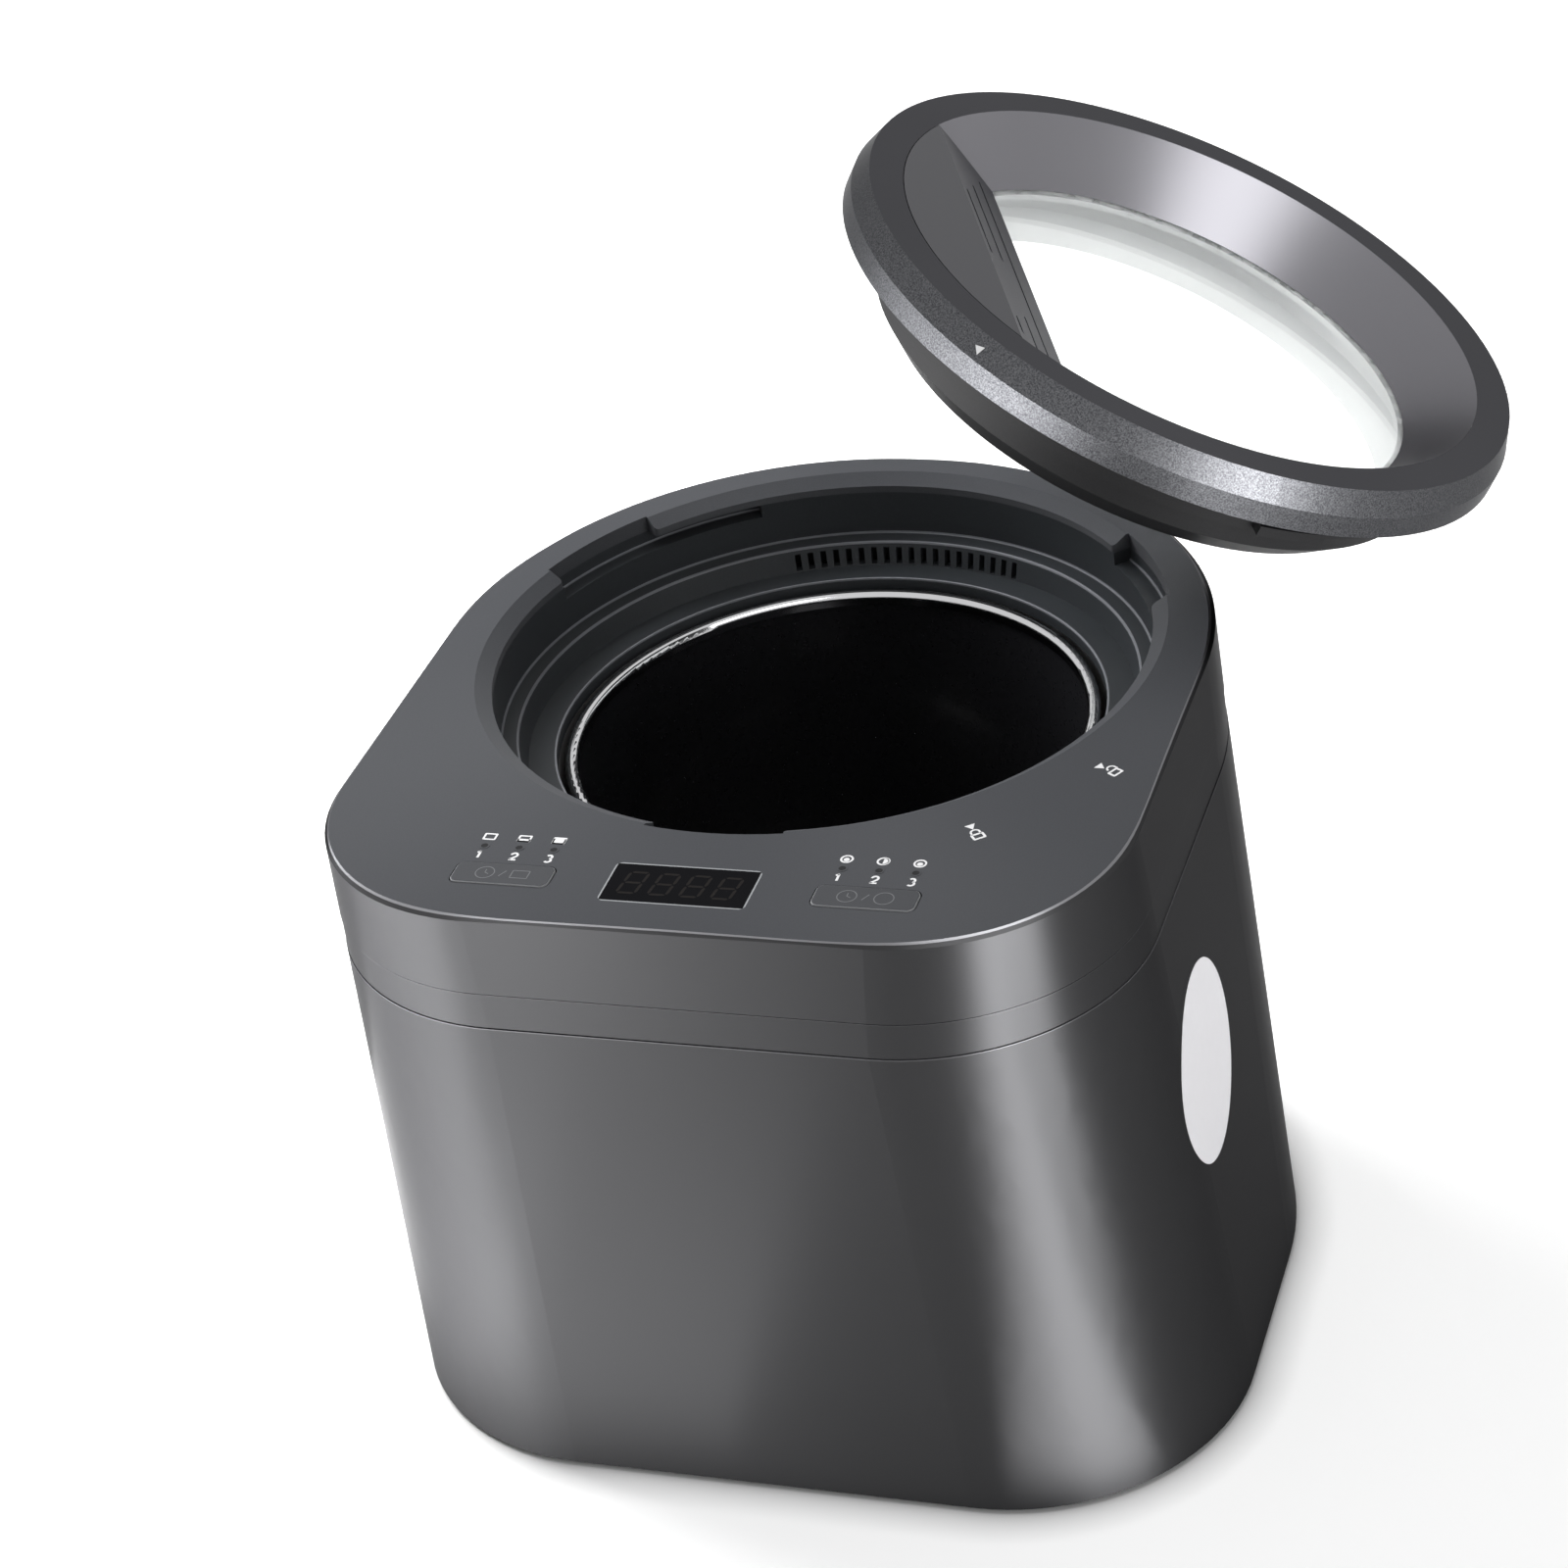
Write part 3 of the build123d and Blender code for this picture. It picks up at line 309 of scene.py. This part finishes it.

# ---- Top cover ---------------------------------------------------------------
# One moulding: a flat deck and a sloped lip with a spark-eroded matt texture, a
# fine painted highlight round the deck's edge, and a skirt lacquered like the shell below.
deck_z = 0.223
deck_highlight_depth, flat_margin = 0.0005, 0.00003
lip_radius = 0.1126
cover = Finish("top_cover_finish")
up = cover.place(2)
reach = cover.place(0).hypot(cover.place(1))
matt = up.above(deck_z - flat_margin).most(reach.under(lip_radius))
spark, drift = cover.noise(2600, 2.0, 0.6), cover.noise(9.0, 2.0, 0.5)
deck_grey = cover.blend((spark * 0.7 + drift * 0.3).held(), (0.036, 0.0375, 0.0415), (0.066, 0.0685, 0.0755))
sheen = cover.blend(drift, shade(gunmetal, 0.9), shade(gunmetal, 1.1))
# Painted highlight: a pale band on the chamfer just below the deck.
deck_edge_highlight = up.above(deck_z - deck_highlight_depth) * (1 - matt)
body_colour = cover.blend(matt, sheen, deck_grey)
cover.set(Base_Color=cover.blend(deck_edge_highlight, body_colour, (0.20, 0.20, 0.21)), Metallic=1.0 - matt)
cover.set(Roughness=matt * 0.2 + 0.4, Normal=cover.bump(spark, 0.00005, 0.25), **satin_coat)
cover.on("top_cover")

# ---- Well liner --------------------------------------------------------------
# Charcoal moulding fixed under the deck. It closes the three bayonet channels
# from below and has the ledge and the row of air slots. Along its sharp edges
# thin pale rings are painted in as highlights.
ring_highlight_width = 0.0006
highlit_ring_edges = ((0.105, 0.2022), (0.0995, 0.2016), (0.111, 0.2131), (0.0885, 0.1937))  # radius, height
well = Finish("well_moulding")
grain = well.noise(1800, 2.0, 0.6)
height = well.place(2)
reach = well.place(0).hypot(well.place(1))
# Painted highlights: a paler colour within a hair of each listed edge.
ring_highlights = 0.0
for edge_r, edge_z in highlit_ring_edges:
    near = (reach - edge_r).size().most((height - edge_z).size())
    ring_highlights = near.under(ring_highlight_width) + ring_highlights
charcoal = well.blend(grain, (0.015, 0.017, 0.019), (0.028, 0.031, 0.035))
well.set(Base_Color=well.blend(ring_highlights.held(), charcoal, (0.17, 0.175, 0.19)), Roughness=grain * 0.1 + 0.46)
well.set(Specular_IOR_Level=0.35, Normal=well.bump(grain, 0.00003, 0.25))
well.on("well_liner")

# ---- Chamber, heater and fasteners -------------------------------------------
# The spun aluminium can that holds the bucket, the heater plate and the bracket
# under it, the drive's coupling and the base screws, all bare bright alloy.
plain_alloy = Finish("plain_alloy")
plain_alloy.grained((60, 3.0, 0.6), (0.42, 0.42, 0.43), (0.6, 0.6, 0.6), (0.32, 0.15))
plain_alloy.set(Metallic=1.0)
plain_alloy.on("chamber_can", "heater_plate", "chamber_bracket", "base_screws", "output_coupling")

# ---- Bucket and stirrer ------------------------------------------------------
# Deep-drawn bucket and cast stirrer with a black non-stick coat, a bright rolled
# rim, two fixed steel bars and a stainless shaft. The bushes are sintered bronze.
coat = Finish("non_stick_coat")
coat.grained((700, 2.0, 0.5), (0.006, 0.006, 0.007), (0.014, 0.014, 0.016), (0.24, 0.1), (0.00003, 0.15))
coat.set(Coat_Weight=0.3, Coat_Roughness=0.1)
coat.on("bucket", "stirrer")

bright = Finish("bright_rim")
bright.grained((30, 2.0, 0.5), (0.52, 0.52, 0.53), (0.60, 0.60, 0.61), (0.1, 0.06))
bright.set(Metallic=1.0)
bright.on("bucket_rim", "stop_ball")

steel = Finish("brushed_steel")
lines = steel.node("ShaderNodeMapping", None, {"Vector": steel.place(), "Scale": (400.0, 400.0, 8.0)})
steel.grained((1.0, 3.0, 0.6, lines), (0.45, 0.45, 0.46), (0.62, 0.62, 0.63), (0.25, 0.2))
steel.set(Metallic=1.0)
steel.on("fixed_bars", "stirrer_shaft")

bronze = Finish("sintered_bronze")
bronze.grained((2200, 2.0, 0.6), (0.32, 0.20, 0.08), (0.55, 0.38, 0.17), (0.4, 0.2))
bronze.set(Metallic=1.0)
bronze.on("bucket_bush", "output_bearing")

# ---- Drive and electronics ---------------------------------------------------
# A painted gear motor and two boards under green lacquer with etched traces, all
# screwed down inside the closed housing.
motor_paint = Finish("motor_paint")
motor_paint.grained((500, 2.0, 0.5), (0.10, 0.105, 0.11), (0.14, 0.145, 0.15), (0.4, 0.2))
motor_paint.on("gear_motor")

board = Finish("board_lacquer")
traces = board.node("ShaderNodeTexVoronoi", {"feature": "DISTANCE_TO_EDGE"}, {"Vector": board.place(), "Scale": 220})
board.set(Base_Color=board.blend((traces * 4.0).held(), (0.02, 0.11, 0.04), (0.012, 0.06, 0.025)), Roughness=0.35)
board.on("power_board", "control_board")

# ---- Lid ring ----------------------------------------------------------------
# One painted moulding, lifted off and tipped: a satin bowl in the middle, a flat
# face round it, and an outer bevel sprayed with coarse metallic speck.
lid_middle = Vector((0.0881, 0.1355, 0.2681))
tip_way, tip, twist = math.radians(10.56), math.radians(28.23), math.radians(297.5)
lid_turn = Matrix.Rotation(tip, 3, Vector((-math.sin(tip_way), math.cos(tip_way), 0.0)))
lid_turn = lid_turn @ Matrix.Rotation(twist, 3, "Z")
bowl_radius, face_radius = 0.1021, 0.1138
ring = Finish("lid_paint")
lid_frame = {"Vector": ring.place(), "Location": lid_middle, "Rotation": lid_turn.to_euler()}
at_lid = ring.node("ShaderNodeMapping", {"vector_type": "TEXTURE"}, lid_frame)
reach = ring.part(at_lid, 0).hypot(ring.part(at_lid, 1))
bowl, outside = reach.under(bowl_radius), reach.above(face_radius)
flake, drift = ring.noise(2000, 2.0, 0.55), ring.noise(9.0, 2.0, 0.5)
spark = ((flake - 0.5) * 2.4 + 0.5).held()
face = ring.blend(drift, (0.056, 0.056, 0.061), (0.074, 0.074, 0.081))
speck = ring.blend((spark * 0.8 + drift * 0.2).held(), (0.020, 0.021, 0.024), (0.112, 0.113, 0.119))
satin = ring.blend(drift, (0.155, 0.153, 0.165), (0.185, 0.183, 0.196))
ring.set(Base_Color=ring.blend(bowl, ring.blend(outside, face, speck), satin), Metallic=0.95)
ring.set(Roughness=drift * 0.04 + 0.38 - bowl * 0.05, Specular_Tint=(0.5, 0.5, 0.5))
ring.set(Normal=ring.bump(flake * (1 - bowl), 0.00005, 0.25))
ring.on("lid_ring")

# ---- Lid skirt, vent cover and filter ----------------------------------------
# A black skirt with three bayonet lugs snaps up into the ring and carries the
# grate. A painted vent cover closes over a pad of carbon felt.
neck = Finish("lid_black")
neck.grained((1600, 2.0, 0.6), (0.010, 0.010, 0.011), (0.020, 0.020, 0.022), (0.55, 0.12), (0.00003, 0.25))
neck.set(Specular_IOR_Level=0.15)
neck.on("lid_skirt", "filter_grate")

vent = Finish("vent_cover_paint")
vent.grained((2400, 2.0, 0.6), (0.024, 0.024, 0.029), (0.039, 0.039, 0.046), (0.42, 0.1), (0.00004, 0.25))
vent.set(Metallic=0.2)
vent.on("vent_cover")

pad = Finish("carbon_pad")
pad.grained((500, 4.0, 0.7), (0.006, 0.006, 0.006), (0.03, 0.03, 0.03), (0.85, 0.1), (0.0003, 0.6))
pad.on("carbon_filter")

# ---- Window and seals --------------------------------------------------------
# A clear glass disc in a white silicone sleeve that lines the skirt, and a dark
# silicone gasket in the skirt's groove.
silicone = Finish("silicone")
silicone.grained((400, 2.0, 0.5), (0.06, 0.06, 0.062), (0.09, 0.09, 0.092), (0.5, 0.1))
silicone.on("lid_gasket")

sleeve = Finish("white_silicone")
sleeve.grained((300, 2.0, 0.5), (0.88, 0.885, 0.885), (0.93, 0.935, 0.935), (0.45, 0.1))
sleeve.on("window_seal")

window = Finish("clear_window")
smear = window.noise(16, 2.0, 0.5)
window.set(Base_Color=(0.97, 0.985, 0.98), Roughness=smear * 0.02, IOR=1.5, Transmission_Weight=1.0)
window.on("lid_glass")

# ---- Display and lamps -------------------------------------------------------
# A smoked black window flush in the deck, with a painted highlight round its edge,
# and six milky light pipes that fill moulded holes above the keys.
display_x, display_y = -0.0005, -0.1383
display_wide, display_deep, window_highlight_width = 0.045, 0.0195, 0.0005
smoked = Finish("smoked_window")
haze = smoked.noise(24, 2.0, 0.5)
from_side = display_wide / 2 - (smoked.place(0) - display_x).size()
from_end = display_deep / 2 - (smoked.place(1) - display_y).size()
# Painted highlight: a pale band all round the window's edge, a little rougher too.
window_edge_highlight = from_side.least(from_end).under(window_highlight_width)
black = smoked.blend(haze, (0.002, 0.002, 0.003), (0.005, 0.005, 0.006))
smoked.set(Base_Color=smoked.blend(window_edge_highlight, black, (0.30, 0.31, 0.32)))
smoked.set(Roughness=haze * 0.05 + 0.2 + window_edge_highlight * 0.2, IOR=1.08)
smoked.on("display_window")

key_x, lamp_y, lamp_pitch, lamp_radius = 0.0555, -0.1246, 0.011, 0.0011
pipe = Finish("light_pipe")
milk = pipe.noise(600, 1.0, 0.5)
offset = (pipe.place(0).size() - key_x).size()
offset = offset.least((offset - lamp_pitch).size())
masked = offset.hypot(pipe.place(1) - lamp_y).above(lamp_radius)
dark = pipe.blend(milk, (0.003, 0.003, 0.004), (0.009, 0.009, 0.010))
pipe.set(Base_Color=pipe.blend(masked, dark, (0.050, 0.052, 0.057)), Roughness=milk * 0.1 + 0.4, IOR=1.3)
pipe.on("status_lamps")

# ---- Keys --------------------------------------------------------------------
# Two wide caps with the deck's texture, that press straight down. Their rounded
# edges have a painted highlight.
fillet_foot = 0.22332
key = Finish("key_top")
spark = key.noise(2600, 2.0, 0.6)
# Painted highlight: the rounded edge below the flat top is pale.
fillet_highlight = key.place(2).under(fillet_foot)
cap = key.blend(spark, (0.032, 0.0335, 0.037), (0.056, 0.058, 0.064))
key.set(Base_Color=key.blend(fillet_highlight, cap, (0.26, 0.265, 0.275)), Roughness=spark * 0.1 + 0.5)
key.set(Specular_IOR_Level=0.3, Normal=key.bump(spark, 0.00004, 0.25))
key.on("left_button", "right_button")

# ---- Printed marks -----------------------------------------------------------
# Pad-printed white ink on the deck: a tray or dial icon behind each lamp, plain
# numbers in front of them, and an arrow and padlock where the lid turns to.
ink_depth, ink_sink = 0.00006, 0.00002
pen, fine_corner = 0.0006, 0.0001
icon_y, number_y = -0.1198, -0.1292


def ring_line(radius, points=40, start=0.0, span=2 * math.pi):
    """Points of a circle: radius times the cosine and sine of a growing angle."""
    angle = start + np.linspace(0, span, points, endpoint=span < 6.28)
    return radius * np.stack([np.cos(angle), np.sin(angle)], 1)


def oblong(width, depth, corner=0.0004):
    """A rounded rectangle: four quarter circles whose middles sit at the corners."""
    quarter = ring_line(corner, 6, 0.0, math.pi / 2)
    half = np.array([width / 2 - corner, depth / 2 - corner])
    turns = [np.stack([quarter @ np.array(t), quarter @ np.array(u)], 1)
             for t, u in (((1, 0), (0, 1)), ((0, -1), (1, 0)), ((-1, 0), (0, -1)), ((0, 1), (-1, 0)))]
    signs = np.array([(1, 1), (-1, 1), (-1, -1), (1, -1)])
    return np.concatenate([turn + half * sign for turn, sign in zip(turns, signs)])


def frame_line(width, depth, line):
    """Two rounded rectangles, the second inside the first by a line's width."""
    return oblong(width, depth), oblong(width - 2 * line, depth - 2 * line, fine_corner)


def stroke(path, width):
    """A pen line: the path shifted half a width to its right, then back along
    its left, where right and left are square to the path's own direction."""
    path = np.asarray(path, float)
    way = np.gradient(path, axis=0)
    way /= np.linalg.norm(way, axis=1, keepdims=True)
    side = np.stack([way[:, 1], -way[:, 0]], 1) * width / 2
    return np.concatenate([path + side, (path - side)[::-1]])


def moved(shape, x, y, turn=0.0):
    """A shape, or each of a pair, turned about its origin and then shifted."""
    if isinstance(shape, tuple):
        return tuple(moved(each, x, y, turn) for each in shape)
    c, s = math.cos(turn), math.sin(turn)
    return shape @ np.array([[c, s], [-s, c]]) + (x, y)


def thin_solid(shapes, low, high):
    """Closed flat solids from low to high. An outline gives a plate; a pair of
    outlines gives a frame, whose top joins each outer point to its inner one."""
    points, faces, count = [], [], 0
    for shape in shapes:
        pair = shape if isinstance(shape, tuple) else (shape,)
        n = len(pair[0])
        levels = [np.column_stack([line, np.full(n, z)]) for z in (high, low) for line in pair]
        i = np.arange(n)
        j = (i + 1) % n
        if len(pair) == 1:
            faces += [(i + count).tolist(), (i[::-1] + n + count).tolist()]
            walls = [(i + n, j + n, j, i)]
        else:
            walls = [(i, j, j + n, i + n), (i + 3 * n, j + 3 * n, j + 2 * n, i + 2 * n),
                     (i + 2 * n, j + 2 * n, j, i), (j + 3 * n, i + 3 * n, i + n, j + n)]
        for wall in walls:
            faces += (np.stack(wall, 1) + count).tolist()
        points += levels
        count += n * len(levels)
    return np.concatenate(points), faces


def piece(name, points, faces, finish, body, slot):
    """A new mesh object at the origin that rides on a body of the frame."""
    data = bpy.data.meshes.new(name)
    data.from_pydata(np.asarray(points).tolist(), [], faces)
    data.materials.append(finish.material)
    made = bpy.data.objects.new(name, data)
    bpy.context.scene.collection.objects.link(made)
    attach(made, body)


ink = Finish("white_ink")
ink.grained((3000, 2.0, 0.6), (0.66, 0.66, 0.67), (0.82, 0.82, 0.83), (0.45, 0.15), (0.00003, 0.3))

tray_wide, tray_deep = 0.0042, 0.0034
tray_fills, fill_wide = (0.0, 0.45, 0.8), 0.0040
tray = frame_line(tray_wide, tray_deep, pen)
dial = (ring_line(0.002), ring_line(0.002 - pen))
drop = moved(ring_line(0.0009), 0.0, -0.0003)
half_disc = ring_line(0.0017, 20, -math.pi / 2, math.pi)
two_curve = moved(ring_line(0.0008, 12, math.pi, -math.pi * 1.2), 0.0, 0.0006)
two_slope = np.linspace((0.0006, 0.0), (-0.0008, -0.0014), 4)
three_high = moved(ring_line(0.0007, 12, math.pi * 0.8, -math.pi * 1.2), 0.0, 0.0007)
three_low = moved(ring_line(0.0008, 12, math.pi * 0.4, -math.pi * 1.2), 0.0, -0.0007)
numbers = (
    ([(0.0, 0.0014), (0.0, -0.0014)], [(-0.0007, 0.0008), (0.0001, 0.0014)]),
    (np.concatenate([two_curve, two_slope]), [(-0.0009, -0.0014), (0.0009, -0.0014)]),
    (three_high, three_low),
)
number_scale = 1.2
marks = []
for group in (-1, 1):
    for k in range(3):
        x = group * key_x + (k - 1) * lamp_pitch
        marks.append(moved(tray if group < 0 else dial, x, icon_y))
        if group > 0:
            marks.append(moved((drop, half_disc, drop)[k], x, icon_y))
        elif tray_fills[k]:
            level = tray_fills[k] * tray_deep
            marks.append(moved(oblong(fill_wide, level, fine_corner), x, icon_y - (tray_deep - level) / 2))
        marks += [moved(stroke(path, pen) * number_scale, x, number_y) for path in numbers[k]]

lock_scale, arrow_scale = 1.2, 1.15
shackle_radius, shackle_lift, shackle_shift = 0.0011, 0.0023, 0.0007
lock_body = tuple(edge * lock_scale for edge in frame_line(0.0034, 0.0026, pen))
arrow = np.array([(-0.0014, 0.0011), (0.0, -0.0013), (0.0014, 0.0011)]) * arrow_scale
locked = ((0.0763, -0.0998), (0.0796, -0.1042), 0.0)
unlocked = ((0.1065, -0.0646), (0.1115, -0.0670), 1.0)
for arrow_at, lock_at, opened in (locked, unlocked):
    turn = math.atan2(arrow_at[1], arrow_at[0]) + math.pi / 2
    marks.append(moved(arrow, *arrow_at, turn))
    marks.append(moved(lock_body, *lock_at, turn))
    first = [(shackle_radius, -0.0009)]
    last = [(-shackle_radius, -0.0009 + opened * 0.0009)]
    hook = np.concatenate([first, ring_line(shackle_radius, 14, 0.0, math.pi), last])
    shackle = moved(stroke(hook * lock_scale, pen), opened * shackle_shift, shackle_lift)
    marks.append(moved(shackle, *lock_at, turn))
piece("deck_marks", *thin_solid(marks, deck_z - ink_sink, deck_z + ink_depth), ink, "housing", "lamp_white")

# ---- Key symbols -------------------------------------------------------------
# Faint outline symbols screened on the caps in a grey a little lighter than the
# cap: a clock face on both, then a slash, then a pan or a plain circle.
key_y, key_top, symbol_pitch = -0.1386, 0.2234, 0.0055
thin_pen, screen_depth = 0.00028, 0.00003
faint = Finish("faint_ink")
faint.grained((3000, 2.0, 0.6), (0.11, 0.112, 0.118), (0.16, 0.163, 0.17), (0.5, 0.1))
circle = (ring_line(0.003), ring_line(0.003 - thin_pen))
pan = frame_line(0.0056, 0.004, thin_pen)
slash = stroke([(-0.0008, -0.0014), (0.0008, 0.0014)], thin_pen)
hands = stroke([(0.0, 0.0016), (0.0, 0.0), (0.0012, -0.0006)], thin_pen)
for body, middle, second in (("left_button", -key_x, pan), ("right_button", key_x, circle)):
    clock_x = middle - symbol_pitch
    shapes = [moved(circle, clock_x, key_y), moved(slash, middle, key_y),
              moved(second, middle + symbol_pitch, key_y), moved(hands, clock_x, key_y)]
    solid = thin_solid(shapes, key_top - ink_sink, key_top + screen_depth)
    piece(body + "_symbols", *solid, faint, body, "button_dark")

# ---- Display digits ----------------------------------------------------------
# The unlit segments of four digits, seven bars each, that show faintly in the
# smoked window and lean a little to the right.
digit_wide, digit_high, digit_pitch, bar_width = 0.0056, 0.0104, 0.0096, 0.00095
bar_gap, digit_lean = 0.0004, 0.12
segment = Finish("unlit_segment")
segment.grained((900, 2.0, 0.6), (0.0050, 0.0040, 0.0038), (0.0085, 0.0066, 0.0060), (0.3, 0.1))
segment.set(IOR=1.15)
hexagon = np.array([(-0.5, 0), (-0.36, -0.5), (0.36, -0.5), (0.5, 0), (0.36, 0.5), (-0.36, 0.5)])
long_bar = hexagon * (digit_high / 2 - bar_gap, bar_width)
short_bar = long_bar * (digit_wide / (digit_high / 2), 1)
bars = [moved(short_bar, 0, y) for y in (-digit_high / 2, 0.0, digit_high / 2)]
bars += [moved(long_bar, x, y, math.pi / 2)
         for x in (-digit_wide / 2, digit_wide / 2) for y in (-digit_high / 4, digit_high / 4)]
leant = [bar + np.outer(bar[:, 1], (digit_lean, 0.0)) for bar in bars]
segments = [moved(bar, display_x + (k - 1.5) * digit_pitch, display_y) for k in range(4) for bar in leant]
solid = thin_solid(segments, deck_z - ink_sink, deck_z + ink_sink)
piece("display_segments", *solid, segment, "housing", "window_black")

# ---- Lid arrow ---------------------------------------------------------------
# A small printed arrow on the lid's outer bevel that meets the deck's two marks.
# It is flat ink, laid on the slope in the same white.
arrow_turn, arrow_height, arrow_size = math.radians(-52.0), 0.0111, 0.0012
bevel_radius, bevel_foot, mean_radius = 0.117, 0.0075, 0.1155
bevel_run, bevel_rise = 3.1, 8.4
square_out, square_up = 0.938, 0.346  # the direction square to the bevel
print_sink = 0.00004
# Each corner has a place round the lid and up the bevel, where the radius shrinks
# in line with height; the ink stands square to the slope.
corners = np.array([(1.13, 1.13), (-1.56, 0.28), (0.28, -1.56)]) * arrow_size
turns = arrow_turn + corners[:, 0] / mean_radius
heights = arrow_height + corners[:, 1] * square_out
radii = bevel_radius - (heights - bevel_foot) * bevel_run / bevel_rise
out = np.stack([np.cos(turns) * square_out, np.sin(turns) * square_out, np.full(3, square_up)], 1)
flat = np.stack([radii * np.cos(turns), radii * np.sin(turns), heights], 1)
points = np.concatenate([flat + out * ink_depth, flat - out * print_sink])
points = points @ np.array(lid_turn).T + np.array(lid_middle)
piece("lid_arrow", points, [(0, 1, 2), (5, 4, 3), (3, 4, 1, 0), (4, 5, 2, 1), (5, 3, 0, 2)], ink, "lid", "lamp_white")

# ---- Side label --------------------------------------------------------------
# An oval self-adhesive film label, blank, that follows the right wall and the
# start of its front corner. White matt film, 0.15 mm thick, with a soft edge.
label_u, label_z = 0.0685, 0.1205
label_half_wide, label_half_high = 0.0285, 0.033
label_thick, label_sink, soft_edge = 0.00015, 0.00006, 0.997
rings, spokes = 10, 96
film = Finish("label_film")
film.grained((260, 3.0, 0.6), (0.84, 0.83, 0.86), (0.89, 0.88, 0.91), (0.42, 0.12), (0.00003, 0.2))


def on_wall(u, z, lift):
    """A point of the right wall at u forward of the middle and z up. The plan is a
    straight side that turns into a corner arc; its half width, corner radius and
    front edge all change in line with height. lift moves it square to the wall."""
    wall_foot, wall_height, wall_lean = 0.0016, 0.1824, 0.07
    t = (z - wall_foot) / wall_height
    half, corner, front = 0.140 - 0.0128 * t, 0.074 - 0.005 * t, 0.1495 + 0.0125 * t
    start = front - corner
    angle = np.maximum(u - start, 0.0) / corner
    x = half - corner + (corner + lift) * np.cos(angle)
    y = -(np.minimum(u, start) + (corner + lift) * np.sin(angle))
    return np.stack([x, y, z + lift * wall_lean], -1)


# Rings grow over the face, drop by half at the edge and shrink again behind it.
steps = np.linspace(1 / rings, 1.0, rings)
spread = np.concatenate([steps, [1.0], steps[::-1]])
spread[rings - 1] = soft_edge
lifts = np.concatenate([np.full(rings, label_thick), [label_thick * 0.5], np.full(rings, -label_sink)])
angle = np.linspace(0, 2 * math.pi, spokes, endpoint=False)
u = label_u - label_half_wide * spread[:, None] * np.cos(angle)
z = label_z + label_half_high * spread[:, None] * np.sin(angle)
grid = on_wall(u, z, np.broadcast_to(lifts[:, None], u.shape)).reshape(-1, 3)
poles = on_wall(np.full(2, label_u), np.full(2, label_z), np.array([label_thick, -label_sink]))
row, col = np.meshgrid(np.arange(2 * rings), np.arange(spokes), indexing="ij")
a, b = row * spokes + col, row * spokes + (col + 1) % spokes
faces = np.stack([a, a + spokes, b + spokes, b], -1).reshape(-1, 4).tolist()
first = np.arange(spokes)
after = (first + 1) % spokes
last_ring = 2 * rings * spokes
faces += np.stack([np.full(spokes, len(grid)), first, after], 1).tolist()
faces += np.stack([np.full(spokes, len(grid) + 1), after + last_ring, first + last_ring], 1).tolist()
piece("side_label", np.concatenate([grid, poles]), faces, film, "housing", "lamp_white")
